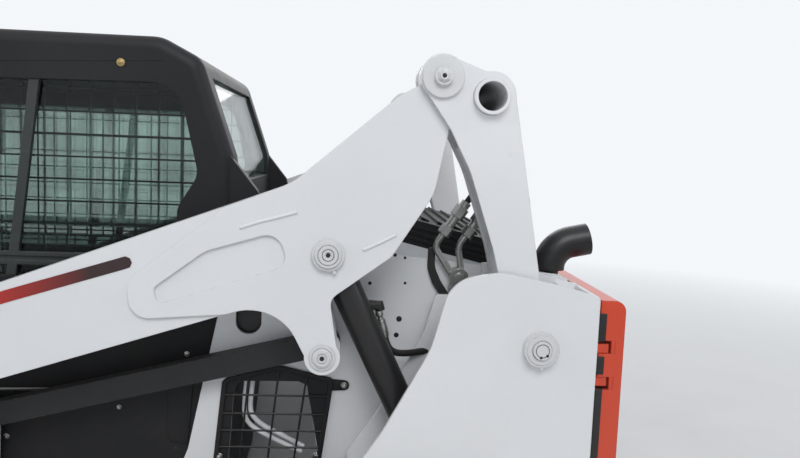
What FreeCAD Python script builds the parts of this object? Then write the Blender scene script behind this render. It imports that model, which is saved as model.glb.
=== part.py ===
import FreeCAD, Part
import math
import operator
import os
import Sketcher

# Skid steer loader with a vertical-lift linkage, arms down and the bucket flat on the ground
# Millimetres: +X forward, +Y to the machine's left, +Z up
# The origin is on the ground, midway between the tail and the bucket's edge
# A reach is measured forward from the rear axle, a height from the ground, a side from the middle

doc = FreeCAD.newDocument("SkidSteerLoader")
sheet = doc.addObject("Spreadsheet::Sheet", "Sizes")

sizes = {
    # Overall
    "tail_reach": -801,
    "bucket_tip_reach": 2715,
    "fit_gap": 0.3,
    # Wheels and axles
    "wheelbase": 1198,
    "tyre_radius": 419,
    "tyre_width": 310,
    "tyre_middle_side": 760,
    "tyre_shoulder": 55,
    "lug_count": 14,
    "lug_depth": 22,
    "lug_width": 46,
    "lug_slant": 16,
    "rim_radius": 210,
    "rim_width": 250,
    "rim_wall": 12,
    "rim_flange_high": 14,
    "rim_flange_thick": 12,
    "rim_disc_inset": 55,
    "rim_disc_thick": 16,
    "axle_radius": 72,
    # Main frame
    "wall_outer_side": 535,
    "wall_thick": 12,
    "floor_height": 185,
    "floor_thick": 12,
    "frame_front_reach": 1500,
    "frame_rear_reach": -700,
    "chaincase_side": 300,
    "engine_bearer_height": 350,
    "engine_bearer_width": 80,
    # Rear towers
    "tower_plate": 12,
    "tower_inner_side": 571,
    "tower_outer_side": 761,
    "tower_rear_reach": -717,
    "arch_gap": 14,
    "arch_thick": 6,
    # Pins of the lift linkage
    "foot_pin_reach": -568,
    "foot_pin_height": 1233,
    "arm_pin_reach": -293,
    "arm_pin_height": 1902,
    "lobe_pin_reach": -17,
    "lobe_pin_height": 1185,
    "brace_pin_reach": 909,
    "brace_pin_height": 960,
    "lift_base_reach": -390,
    "lift_base_height": 710,
    "lift_rod_reach": -25,
    "lift_rod_height": 1451,
    "bucket_pin_reach": 1799,
    "bucket_pin_height": 200,
    "tilt_base_reach": 1620,
    "tilt_base_height": 920,
    "tilt_rod_reach": 1867,
    "tilt_rod_height": 377,
    "pin_radius": 24,
    # Rear links
    "link_outer_side": 741,
    "link_inner_side": 591,
    "link_cheek": 12,
    "link_head_radius": 56,
    "link_tube_seat_radius": 62,
    "link_foot_radius": 60,
    "cross_tube_reach": -415,
    "cross_tube_height": 1859,
    "cross_tube_radius": 45,
    "cross_tube_wall": 9,
    "cross_tube_proud": 19,
    # Lift arms
    "arm_outer_side": 721,
    "arm_inner_side": 611,
    "arm_plate": 8,
    "arm_head_radius": 52,
    "arm_lobe_radius": 46,
    "arm_toe_radius": 62,
    "arm_tube_reach": 1665,
    "arm_tube_height": 540,
    "arm_tube_radius": 45,
    "cap_radius": 40,
    "cap_thick": 9,
    "foot_cap_thick": 22,
    "nut_radius": 18,
    "nut_thick": 8,
    # Control links
    "brace_side": 545,
    "brace_thick": 45,
    "brace_depth": 63,
    "brace_eye_radius": 44,
    "brace_stub_gap": 7,
    # Lift cylinders
    "lift_barrel_radius": 41,
    "lift_barrel_bore": 33,
    "lift_barrel_length": 770,
    "lift_bore_start": 84,
    "lift_gland_length": 40,
    "lift_rod_radius": 25,
    "lift_rod_start": 126,
    "lift_piston": 30,
    "lift_eye_radius": 42,
    "lift_eye_width": 74,
    # Tilt cylinders
    "tilt_side": 563,
    "tilt_barrel_radius": 35,
    "tilt_barrel_bore": 28,
    "tilt_barrel_length": 488,
    "tilt_bore_start": 46,
    "tilt_gland_length": 28,
    "tilt_rod_radius": 19,
    "tilt_rod_start": 134,
    "tilt_piston": 14,
    "tilt_eye_radius": 34,
    "tilt_eye_width": 46,
    "tilt_pin_radius": 18,
    "tilt_boss_radius": 48,
    # Bucket and its carrier
    "bucket_half_width": 940,
    "bucket_sheet": 12,
    "bucket_side_thick": 12,
    "bucket_back_gap": 128,
    "bucket_lean": 113,
    "bucket_top_height": 640,
    "bucket_heel_round": 120,
    "edge_depth": 140,
    "edge_thick": 20,
    "carrier_half_width": 520,
    "carrier_thick": 16,
    "carrier_foot_height": 110,
    "carrier_top_height": 470,
    "lug_thick": 10,
    "lug_inner_side": 526,
    "lug_middle_side": 592,
    "lug_outer_side": 730,
    # Cab
    "cab_half_width": 500,
    "cab_wall": 45,
    "cab_front_foot_reach": 1500,
    "cab_front_foot_height": 620,
    "cab_front_top_reach": 1400,
    "cab_front_drop": 15,
    "cab_floor_height": 440,
    "cab_floor_thick": 30,
    "roof_height": 2000,
    "roof_thick": 55,
    "roof_rise": 15,
    "cab_side_round": 34,
    "glass_thick": 6,
    "glass_inset": 20,
    "sill_low": 1335,
    "sill_rail_low": 1366,
    "sill_rail_high": 1402,
    "slider_bar_width": 26,
    "screen_wire": 5,
    "screen_pitch": 62,
    "rear_pane_low": 1605,
    "rear_pane_high": 1900,
    "rear_pane_half_width": 400,
    "seat_bar_reach": 420,
    "seat_bar_height": 1150,
    "seat_bar_front_reach": 900,
    "seat_bar_front_height": 1080,
    "seat_bar_side": 392,
    "lever_reach": 1010,
    # Door
    "door_half_width": 440,
    "door_thick": 28,
    "door_rail": 60,
    "door_gap": 6,
    "door_foot": 40,
    "door_head_gap": 85,
    "hinge_radius": 12,
    # Tail
    "tailgate_half_width": 720,
    "tailgate_thick": 66,
    "tailgate_low": 480,
    "tailgate_high": 1352,
    "tailgate_round": 30,
    "tailgate_hinge_reach": -750,
    "tailgate_hinge_side": 706,
    "tailgate_hinge_low": 640,
    "tailgate_hinge_high": 1150,
    "bumper_low": 300,
    "bumper_high": 465,
    "bumper_half_width": 600,
    "bumper_thick": 40,
    "tie_down_radius": 22,
    "tie_down_side": 565,
    "tie_down_height": 360,
    # Hood
    "hood_half_width": 440,
    "hood_front_reach": -178,
    "hood_rear_reach": -640,
    "hood_high": 1541,
    "hood_rear_high": 1432,
    "hood_edge": 74,
    "hood_wall": 12,
    "hood_rib_proud": 4,
    "hood_louver_count": 7,
    "cover_low": 1360,
    "cover_thick": 12,
    "hood_hinge_reach": -160,
    "hood_hinge_height": 1482,
    "hood_hinge_side": 300,
    "hood_hinge_width": 60,
    # Exhaust
    "exhaust_side": 491,
    "exhaust_reach": -650,
    "exhaust_radius": 29,
    "exhaust_elbow_radius": 45,
    "exhaust_wall": 4,
    "exhaust_low": 1180,
    "exhaust_bend_height": 1402,
    "exhaust_bend_radius": 76,
    "exhaust_tail_length": 50,
    "exhaust_turn": 78,
    # Hydraulic lines beside the hood
    "line_side": 552,
    "line_cap_reach": -381,
    "line_cap_height": 1378,
    "line_cap_radius": 25,
    "line_tube_radius": 9,
    "line_hose_radius": 8.5,
}

for row, (name, number) in enumerate(sizes.items(), start=1):
    sheet.set(f"A{row}", name)
    sheet.set(f"B{row}", str(number))
    sheet.setAlias(f"B{row}", name)
doc.recompute()


# A size is a number and the sheet expression that gives it, so that sums of sizes stay bound
operations = {"+": operator.add, "-": operator.sub, "*": operator.mul, "/": operator.truediv}


class Size:
    def __init__(self, number, words):
        self.number = float(number)
        self.words = words

    def __add__(self, other):
        return joined(self, "+", other)

    def __radd__(self, other):
        return joined(other, "+", self)

    def __sub__(self, other):
        return joined(self, "-", other)

    def __rsub__(self, other):
        return joined(other, "-", self)

    def __mul__(self, other):
        return joined(self, "*", other)

    def __rmul__(self, other):
        return joined(other, "*", self)

    def __truediv__(self, other):
        return joined(self, "/", other)

    def __neg__(self):
        return joined(0, "-", self)


def sized(thing):
    if isinstance(thing, Size):
        return thing
    return Size(thing, f"{thing}")


def joined(left, sign, right):
    left = sized(left)
    right = sized(right)
    number = operations[sign](left.number, right.number)
    return Size(number, f"({left.words} {sign} {right.words})")


def span(start, end):
    across = end[0] - start[0]
    up = end[1] - start[1]
    words = f"sqrt({across.words} * {across.words} + {up.words} * {up.words})"
    return Size(math.hypot(across.number, up.number), words)


def slope(start, end):
    return math.degrees(math.atan2((end[1] - start[1]).number, (end[0] - start[0]).number))


class SheetSizes:
    def __getattr__(self, name):
        return Size(sizes[name], f"Sizes.{name}")


S = SheetSizes()

# The rear axle's own place puts the origin midway along the machine
rear_axle = (sized(0) - S.tail_reach - S.bucket_tip_reach) / 2


def fore(reach):
    return rear_axle + reach


def spot(reach, height):
    return (fore(reach), sized(height))


foot_pin = spot(S.foot_pin_reach, S.foot_pin_height)
arm_pin = spot(S.arm_pin_reach, S.arm_pin_height)
lobe_pin = spot(S.lobe_pin_reach, S.lobe_pin_height)
brace_pin = spot(S.brace_pin_reach, S.brace_pin_height)
lift_base = spot(S.lift_base_reach, S.lift_base_height)
lift_eye = spot(S.lift_rod_reach, S.lift_rod_height)
bucket_pin = spot(S.bucket_pin_reach, S.bucket_pin_height)
tilt_base = spot(S.tilt_base_reach, S.tilt_base_height)
tilt_eye = spot(S.tilt_rod_reach, S.tilt_rod_height)
cross_tube = spot(S.cross_tube_reach, S.cross_tube_height)


# Shape helpers
def bind(thing, prop, size):
    thing.setExpression(prop, sized(size).words)


def move(thing, base, turn=None):
    numbers = [sized(value).number for value in base]
    rotation = turn or FreeCAD.Rotation()
    thing.Placement = FreeCAD.Placement(FreeCAD.Vector(*numbers), rotation)
    for axis, value in zip("xyz", base):
        bind(thing, f"Placement.Base.{axis}", value)
    return thing


def origin_plane(body, role):
    return next(item for item in body.Origin.OriginFeatures if item.Role == role)


plane_axes = {"XZ_Plane": "XZ", "XY_Plane": "XY", "YZ_Plane": "YZ"}


def draw_outline(sketch, corners):
    count = len(corners)
    spots = [FreeCAD.Vector(across.number, up.number, 0) for across, up in corners]
    lines = [Part.LineSegment(spots[i], spots[(i + 1) % count]) for i in range(count)]
    sketch.addGeometry(lines, False)
    joints = [Sketcher.Constraint("Coincident", i, 2, (i + 1) % count, 1) for i in range(count)]
    sketch.addConstraint(joints)
    for i, (across, up) in enumerate(corners):
        number = sketch.addConstraint(Sketcher.Constraint("DistanceX", -1, 1, i, 1, across.number))
        sketch.setExpression(f"Constraints[{number}]", across.words)
        number = sketch.addConstraint(Sketcher.Constraint("DistanceY", -1, 1, i, 1, up.number))
        sketch.setExpression(f"Constraints[{number}]", up.words)


def corner_edges(shape, axes, corners):
    names = []
    for number, edge in enumerate(shape.Edges, start=1):
        ends = edge.Vertexes
        if len(ends) != 2:
            continue
        for across, up in corners:
            wanted = (across.number, up.number)
            found = [(getattr(end, axes[0]), getattr(end, axes[1])) for end in ends]
            if all(math.dist(wanted, place) < 0.01 for place in found):
                names.append(f"Edge{number}")
    return names


# A plate is an outline padded from its low side, with its corners rounded
# Each row of the outline is: across, up, round
def plate(name, outline, low, thick, plane="XZ_Plane"):
    corners = [(sized(row[0]), sized(row[1])) for row in outline]
    body = doc.addObject("PartDesign::Body", name)
    sketch = body.newObject("Sketcher::SketchObject", name + "_outline")
    sketch.AttachmentSupport = (origin_plane(body, plane), [""])
    sketch.MapMode = "FlatFace"
    draw_outline(sketch, corners)
    feature = body.newObject("PartDesign::Pad", name + "_pad")
    feature.Profile = sketch
    feature.Reversed = plane == "XZ_Plane"
    bind(feature, "Length", thick)
    doc.recompute()
    rounds = {}
    for corner, row in zip(corners, outline):
        if len(row) > 2:
            rounds.setdefault(sized(row[2]).words, []).append((corner, sized(row[2])))
    for count, group in enumerate(rounds.values()):
        names = corner_edges(feature.Shape, plane_axes[plane], [corner for corner, _ in group])
        fillet = body.newObject("PartDesign::Fillet", f"{name}_round_{count}")
        fillet.Base = (feature, names)
        bind(fillet, "Radius", group[0][1])
        doc.recompute()
        feature = fillet
    body.Tip = feature
    base = {"XZ_Plane": (0, low, 0), "XY_Plane": (0, 0, low), "YZ_Plane": (low, 0, 0)}[plane]
    return move(body, base)


def box(name, across, side, up):
    block = doc.addObject("Part::Box", name)
    for prop, (low, high) in zip(("Length", "Width", "Height"), (across, side, up)):
        bind(block, prop, sized(high) - low)
    return move(block, (across[0], side[0], up[0]))


along_side = FreeCAD.Rotation(FreeCAD.Vector(1, 0, 0), -90)
along_fore = FreeCAD.Rotation(FreeCAD.Vector(0, 1, 0), 90)


def disc(name, centre, radius, low, high):
    cylinder = doc.addObject("Part::Cylinder", name)
    bind(cylinder, "Radius", radius)
    bind(cylinder, "Height", sized(high) - low)
    return move(cylinder, (centre[0], low, centre[1]), along_side)


# Faces that a boolean splits stay split, since merging them can spoil a long rounded edge
def fuse(name, pieces):
    union = doc.addObject("Part::MultiFuse", name)
    union.Shapes = pieces
    union.Refine = False
    return union


def cut(name, base, tools):
    result = doc.addObject("Part::Cut", name)
    result.Base = base
    result.Tool = tools[0] if len(tools) == 1 else fuse(name + "_tools", tools)
    result.Refine = False
    return result


def mirrored(name, source):
    copy = doc.addObject("Part::Mirroring", name)
    copy.Source = source
    copy.Base = FreeCAD.Vector(0, 0, 0)
    copy.Normal = FreeCAD.Vector(0, 1, 0)
    return copy


def group(name, pieces):
    compound = doc.addObject("Part::Compound", name)
    compound.Links = pieces
    return compound


nodes = {}


def node(label, thing):
    thing.Label = label
    nodes[label] = thing
    return thing


def both_sides(label, left):
    node(label, group(label, [left, mirrored(label + "_far", left)]))


def left_and_right(label, left):
    node(label + "_left", left)
    node(label + "_right", mirrored(label + "_right", left))


# A flat outline's rows are given as reach, height, round
def in_frame(rows):
    return [(fore(row[0]), *row[1:]) for row in rows]


# Rows measured from a named point: forward, up, round
def about(point, rows):
    return [(point[0] + row[0], point[1] + row[1], *row[2:]) for row in rows]


# Main frame: a welded tub with tall rear walls that carry the towers
def make_main_frame():
    wall_inner = S.wall_outer_side - S.wall_thick
    floor_top = S.floor_height + S.floor_thick
    bracket = about(brace_pin, [(46, 15), (-46, 15)])
    outline = in_frame([
        (S.frame_rear_reach, 320, 60),
        (-560, S.floor_height, 60),
        (1330, S.floor_height, 80),
        (S.frame_front_reach, 330, 60),
        (S.frame_front_reach, 560, 60),
        (1110, 640, 60),
    ]) + bracket + in_frame([
        (872, 700, 60),
        (420, 700, 80),
        (354, 865, 40),
        (277, 1247, 60),
        (235, 1340, 60),
        (-100, 1440, 60),
        (S.frame_rear_reach, 1385, 40),
    ])
    wall = plate("frame_wall", outline, wall_inner, S.wall_thick)
    boss = disc("frame_brace_boss", brace_pin, 50, wall_inner, S.wall_outer_side)
    window = plate("frame_wall_window", in_frame([
        (-20, 790, 30), (245, 790, 30), (228, 1065, 30), (30, 1065, 30),
    ]), wall_inner - 5, S.wall_thick + 10)
    slot = plate("frame_wall_slot", in_frame([
        (158, 1196, 34), (228, 1196, 34), (228, 1290, 34), (158, 1290, 34),
    ]), wall_inner - 5, S.wall_thick + 10)
    pierced = cut("frame_wall_pierced", fuse("frame_wall_full", [wall, boss]), [window, slot])
    far_wall = mirrored("frame_wall_far", pierced)
    across = (-wall_inner, wall_inner)
    floor = box("frame_floor", (fore(-560), fore(1330)), across, (S.floor_height, floor_top))
    front = box("frame_front_plate", (fore(S.frame_front_reach) - 30, fore(S.frame_front_reach) - 18),
                across, (330, S.cab_floor_height))
    rear = box("frame_rear_plate", (fore(S.frame_rear_reach), fore(S.frame_rear_reach) + S.wall_thick),
               across, (330, 620))
    pieces = [pierced, far_wall, floor, front, rear]
    for place, reach in (("rear", -600), ("front", -300)):
        pieces.append(box("frame_bearer_" + place, (fore(reach), fore(reach) + S.engine_bearer_width),
                          across, (floor_top - 1, S.engine_bearer_height)))
    for place, low, high in (("left", S.chaincase_side, wall_inner), ("right", -wall_inner, -S.chaincase_side)):
        pieces.append(box("frame_chaincase_" + place, (fore(-130), fore(1310)),
                          (low, high), (floor_top - 1, S.cab_floor_height)))
    tub = fuse("main_frame", pieces)
    node("main_frame", tub)


# Rear towers: two plates each side, tied by a rear web and an arch over the tyre
def make_towers():
    arch_radius = S.tyre_radius + S.arch_gap
    outer_low = S.tower_outer_side - S.tower_plate
    profile = in_frame([
        (S.tower_rear_reach, 560, 40),
        (S.tower_rear_reach, 1367, 12),
        (-602, 1398),
        (-457, 1424, 110),
        (-335, 1400, 90),
        (-290, 1222, 200),
        (-175, 1006, 300),
        (-90, 880, 20),
        (-90, 700),
        (-420, 560),
    ])
    rear_axle_spot = (rear_axle, S.tyre_radius)
    outer = plate("tower_outer_plate", profile, outer_low, S.tower_plate)
    line_notch = plate("tower_line_notch", in_frame([
        (-440, 1330, 25), (-250, 1330), (-250, 1450), (-440, 1450),
    ]), S.tower_inner_side - 3, S.tower_plate + 6)
    inner = cut("tower_inner_notched", plate("tower_inner_plate", profile, S.tower_inner_side, S.tower_plate),
                [line_notch])
    web = box("tower_rear_web", (fore(S.tower_rear_reach), fore(S.tower_rear_reach) + S.tower_plate),
              (S.wall_outer_side, S.tower_outer_side - S.tower_plate / 2), (560, 1366))
    web_foot = box("tower_foot", (fore(S.tower_rear_reach), fore(-420)),
                   (S.wall_outer_side, S.tower_outer_side - S.tower_plate / 2), (560, 572))
    cap_ends = (S.tower_rear_reach, -646)
    cap = plate("tower_cap", in_frame([
        (cap_ends[0], 1346), (cap_ends[1], 1365), (cap_ends[1], 1373), (cap_ends[0], 1354),
    ]), S.wall_outer_side, outer_low - S.wall_outer_side)
    arch_full = disc("tower_arch_full", rear_axle_spot, arch_radius + S.arch_thick,
                     S.wall_outer_side, S.tower_outer_side - S.tower_plate / 2)
    arch_side = box("tower_arch_side", (fore(-480), fore(-100)),
                    (S.wall_outer_side, S.tower_outer_side), (560, 960))
    arch = doc.addObject("Part::Common", "tower_arch")
    arch.Base = arch_full
    arch.Tool = arch_side
    wheel_space = disc("tower_wheel_space", rear_axle_spot, arch_radius, 500, 800)
    base_boss = disc("tower_base_boss", lift_base, 46, outer_low - 6, S.tower_outer_side + 4)
    tower = cut("tower_left", fuse("tower_full", [outer, inner, web, web_foot, cap, arch, base_boss]), [
        wheel_space,
        disc("tower_foot_bore", foot_pin, S.pin_radius + S.fit_gap, 500, 800),
        disc("tower_base_bore", lift_base, S.pin_radius + S.fit_gap, 500, 800),
    ])
    left_and_right("tower", tower)


# Pins that the frame and the towers hold, each with its stepped outer cap
def make_chassis_pins():
    outer = S.tower_outer_side
    foot = fuse("foot_pin_left", [
        disc("foot_pin_shaft", foot_pin, S.pin_radius, S.tower_inner_side - 6, outer + S.foot_cap_thick),
        disc("foot_pin_cap", foot_pin, S.cap_radius + 5, outer, outer + S.foot_cap_thick),
        disc("foot_pin_nut", foot_pin, S.nut_radius + 6, outer, outer + S.foot_cap_thick + S.nut_thick),
    ])
    base = disc("base_pin_left", lift_base, S.pin_radius, S.tower_inner_side - 6, outer + 6)
    brace_outer = S.brace_side + S.brace_thick
    brace = fuse("brace_pin_left", [
        disc("brace_pin_shaft", brace_pin, S.pin_radius, S.wall_outer_side, brace_outer + 12),
        disc("brace_pin_cap", brace_pin, S.cap_radius - 8, brace_outer + S.fit_gap, brace_outer + 12),
        disc("brace_pin_collar", brace_pin, S.cap_radius - 8, S.wall_outer_side, S.brace_side - S.fit_gap),
    ])
    both_sides("chassis_pins", group("chassis_pins_near", [foot, base, brace]))


# Rear links: two cheeks on a box, hung on the tower foot pin
def make_rear_links():
    cheek_profile = [
        (arm_pin[0] + 50, arm_pin[1] - 24),
        (arm_pin[0] + 40, arm_pin[1] + 38),
        (arm_pin[0] - 4, arm_pin[1] + 55),
        (cross_tube[0] + 15, cross_tube[1] + 60),
        (cross_tube[0] - 59, cross_tube[1] + 16),
        (foot_pin[0] - 8, foot_pin[1] + 100, 120),
        (foot_pin[0] - 58, foot_pin[1] + 10),
        (foot_pin[0] + 58, foot_pin[1] + 10),
        (fore(-478), sized(1330)),
        (fore(-440), sized(1475), 300),
        (fore(-372), sized(1672), 300),
        (fore(-318), sized(1774), 120),
    ]
    core_profile = [
        (foot_pin[0] + 84, foot_pin[1] + 70, 10),
        (fore(-446), sized(1475), 300),
        (fore(-378), sized(1672), 200),
        (fore(-348), sized(1730), 10),
        (cross_tube[0] + 20, cross_tube[1] - 50, 10),
        (cross_tube[0] - 50, cross_tube[1] - 30, 10),
        (foot_pin[0] - 10, foot_pin[1] + 70, 10),
    ]
    inner_low = S.link_inner_side
    outer_low = S.link_outer_side - S.link_cheek
    pieces = [plate("link_core", core_profile, inner_low + S.link_cheek / 2,
                    S.link_outer_side - S.link_inner_side - S.link_cheek)]
    for place, low in (("inner", inner_low), ("outer", outer_low)):
        high = low + S.link_cheek
        pieces += [
            plate(f"link_{place}_cheek", cheek_profile, low, S.link_cheek),
            disc(f"link_{place}_head", arm_pin, S.link_head_radius, low, high),
            disc(f"link_{place}_seat", cross_tube, S.link_tube_seat_radius, low, high),
            disc(f"link_{place}_foot", foot_pin, S.link_foot_radius, low, high),
        ]
    pieces.append(disc("link_foot_boss", foot_pin, S.link_foot_radius - 12, inner_low, S.link_outer_side))
    link = cut("rear_link_left", fuse("link_full", pieces), [
        disc("link_head_bore", arm_pin, S.pin_radius + S.fit_gap, 500, 800),
        disc("link_foot_bore", foot_pin, S.pin_radius + S.fit_gap, 500, 800),
        disc("link_seat_bore", cross_tube, S.cross_tube_radius + S.fit_gap, 500, 800),
    ])
    left_and_right("rear_link", link)
    end = S.link_outer_side + S.cross_tube_proud
    tube = cut("link_cross_tube", disc("cross_tube_full", cross_tube, S.cross_tube_radius, -end, end), [
        disc("cross_tube_bore", cross_tube, S.cross_tube_radius - S.cross_tube_wall, -end - 5, end + 5),
    ])
    node("link_cross_tube", tube)
    pin = fuse("link_pin_left", [
        disc("arm_pin_shaft", arm_pin, S.pin_radius, S.link_inner_side - 6, S.link_outer_side + S.cap_thick),
        disc("arm_pin_cap", arm_pin, S.link_head_radius - 4, S.link_outer_side,
             S.link_outer_side + S.cap_thick),
        disc("arm_pin_nut", arm_pin, S.nut_radius, S.link_outer_side,
             S.link_outer_side + S.cap_thick + S.nut_thick),
    ])
    both_sides("link_pins", pin)


# Lift arms: a box beam welded between broad rear plates that drop to a lobe
def make_lift_arms():
    beam = [
        (arm_pin[0] + 6, arm_pin[1] + 48),
        (arm_pin[0] + 48, arm_pin[1] - 17),
        (fore(-189), sized(1853), 40),
        (fore(73), sized(1624), 200),
        (fore(1590), sized(1046), 140),
        (bucket_pin[0] + 58, bucket_pin[1] + 15),
        (bucket_pin[0] - 44, bucket_pin[1] - 10),
        (fore(1490), sized(885), 150),
        (fore(103), sized(1330), 130),
        (lobe_pin[0] + 41, lobe_pin[1] - 5),
        (lobe_pin[0] - 41, lobe_pin[1] - 5),
        (fore(-32), sized(1336), 35),
        (fore(-185), sized(1450), 40),
        (fore(-285), sized(1610), 150),
        (arm_pin[0] - 42, arm_pin[1] - 28),
    ]
    side_plate = beam[:3] + [
        (fore(73), sized(1624), 200),
        (fore(240), sized(1560)),
        (fore(278), sized(1524)),
        (fore(472), sized(1372), 60),
        (fore(464), sized(1272), 50),
        (fore(228), sized(1291)),
    ] + beam[8:]
    slot = in_frame([
        (32, 1594, 50), (-330, 1594), (-330, 1150), (-110, 1100), (32, 1100),
    ])
    teardrop = in_frame([
        (407, 1353, 17), (280, 1450, 90), (100, 1505, 42), (76, 1418, 34), (396, 1312, 17),
    ])
    low = S.arm_inner_side
    high = S.arm_outer_side
    core_low = low + S.arm_plate
    core_high = high - S.arm_plate
    core = cut("arm_core", plate("arm_beam", beam, core_low, core_high - core_low), [
        plate("arm_slot", slot, core_low - 1, core_high - core_low + 2),
    ])
    recessed = cut("arm_outer_recessed", plate("arm_outer_plate", side_plate, core_high, S.arm_plate), [
        plate("arm_teardrop", teardrop, core_high - 1, S.arm_plate + 2),
    ])
    arm_box = fuse("arm_box", [core, plate("arm_inner_plate", side_plate, low, S.arm_plate), recessed])
    tilt_eye_low = S.tilt_side - S.tilt_eye_width / 2
    tilt_cap = tilt_eye_low - 12
    pieces = [
        arm_box,
        disc("arm_inner_lobe", lobe_pin, S.arm_lobe_radius, low, core_low),
        disc("arm_outer_lobe", lobe_pin, S.arm_lobe_radius, core_high, high),
        disc("arm_head", arm_pin, S.arm_head_radius, low, high),
        disc("arm_toe", bucket_pin, S.arm_toe_radius, core_low, core_high),
        disc("arm_lift_cap", lift_eye, S.cap_radius, high, high + S.cap_thick),
        disc("arm_lift_nut", lift_eye, S.nut_radius + 4, high, high + S.cap_thick + S.nut_thick),
        disc("arm_lobe_cap", lobe_pin, S.cap_radius - 15, high, high + S.cap_thick),
        disc("arm_lobe_stub", lobe_pin, S.pin_radius, S.brace_side + S.brace_thick + S.brace_stub_gap, low),
        disc("arm_tilt_boss", tilt_base, S.tilt_boss_radius, low, high),
        disc("arm_tilt_pin", tilt_base, S.tilt_pin_radius, tilt_cap, low + 1),
        disc("arm_tilt_cap", tilt_base, S.tilt_pin_radius + 10, tilt_cap, tilt_eye_low - S.fit_gap),
    ]
    arm = cut("lift_arm_left", fuse("arm_full", pieces), [
        disc("arm_head_bore", arm_pin, S.pin_radius + S.fit_gap, 500, 800),
        disc("arm_toe_bore", bucket_pin, S.pin_radius + S.fit_gap, 500, 800),
    ])
    left_and_right("lift_arm", arm)
    tube_spot = spot(S.arm_tube_reach, S.arm_tube_height)
    node("arm_cross_tube", disc("arm_cross_tube", tube_spot, S.arm_tube_radius,
                                -core_low, core_low))


# Control links: plain bars that hold the lobes
def make_control_links():
    length = span(brace_pin, lobe_pin)
    half = S.brace_depth / 2
    start = sized(0)
    bar = plate("control_link_bar", [(start, -half), (length, -half), (length, half), (start, half)],
                S.brace_side, S.brace_thick)
    brace_high = S.brace_side + S.brace_thick
    link = cut("control_link_shape", fuse("control_link_full", [
        bar,
        disc("control_link_front_eye", (start, start), S.brace_eye_radius, S.brace_side, brace_high),
        disc("control_link_rear_eye", (length, start), S.brace_eye_radius, S.brace_side, brace_high),
    ]), [
        disc("control_link_front_bore", (start, start), S.pin_radius + S.fit_gap, 500, 700),
        disc("control_link_rear_bore", (length, start), S.pin_radius + S.fit_gap, 500, 700),
    ])
    turn = FreeCAD.Rotation(FreeCAD.Vector(0, -1, 0), slope(brace_pin, lobe_pin))
    move(link, (brace_pin[0], 0, brace_pin[1]), turn)
    both_sides("control_links", link)


# A cylinder pair is drawn along +X from its base pin and then turned into place
# barrel_sizes columns: radius, bore, bore start, length, gland; rod_sizes columns: radius, start, piston
# The rod's eye is closed, with its pin's ends showing as low bosses
def make_cylinders(kind, base, eye, side, barrel_sizes, rod_sizes, eye_sizes):
    radius, bore, bore_start, length, gland = barrel_sizes
    rod_radius, rod_start, piston = rod_sizes
    eye_radius, eye_width, pin_radius = eye_sizes
    reach = span(base, eye)
    zero = sized(0)
    low = side - eye_width / 2
    high = side + eye_width / 2
    neck_half = eye_radius * 0.75
    turn = FreeCAD.Rotation(FreeCAD.Vector(0, -1, 0), slope(base, eye))

    def rod_along(name, bar_radius, start, end):
        bar = doc.addObject("Part::Cylinder", name)
        bind(bar, "Radius", bar_radius)
        bind(bar, "Height", end - start)
        return move(bar, (start, side, zero), along_fore)

    tube_start = eye_radius + 3
    barrel = cut(f"{kind}_barrel_shape", fuse(f"{kind}_barrel_full", [
        rod_along(f"{kind}_barrel_tube", radius, tube_start, length),
        box(f"{kind}_barrel_neck", (zero, tube_start + 1), (low, high), (-neck_half, neck_half)),
        disc(f"{kind}_base_eye", (zero, zero), eye_radius, low, high),
    ]), [
        rod_along(f"{kind}_barrel_bore", bore, bore_start, length - gland),
        rod_along(f"{kind}_gland_bore", rod_radius + S.fit_gap, length - gland - 1, length + 1),
        disc(f"{kind}_base_bore", (zero, zero), pin_radius + S.fit_gap, low - 5, high + 5),
    ])
    rod = fuse(f"{kind}_rod_shape", [
        rod_along(f"{kind}_rod_bar", rod_radius, rod_start, reach),
        rod_along(f"{kind}_piston", bore - S.fit_gap, rod_start - piston, rod_start),
        disc(f"{kind}_rod_eye", (reach, zero), eye_radius, low, high),
        disc(f"{kind}_rod_pin", (reach, zero), pin_radius, low - 2, high + 2),
    ])
    for name, shape in (("barrels", barrel), ("rods", rod)):
        move(shape, (base[0], 0, base[1]), turn)
        both_sides(f"{kind}_{name}", shape)


# Carrier, bucket and cutting edge
bucket_foot_reach = S.bucket_pin_reach + S.bucket_back_gap
bucket_top_reach = bucket_foot_reach + S.bucket_lean


def back_reach(height):
    rise = (bucket_top_reach - bucket_foot_reach) / S.bucket_top_height
    return fore(bucket_foot_reach) + rise * height


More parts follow.
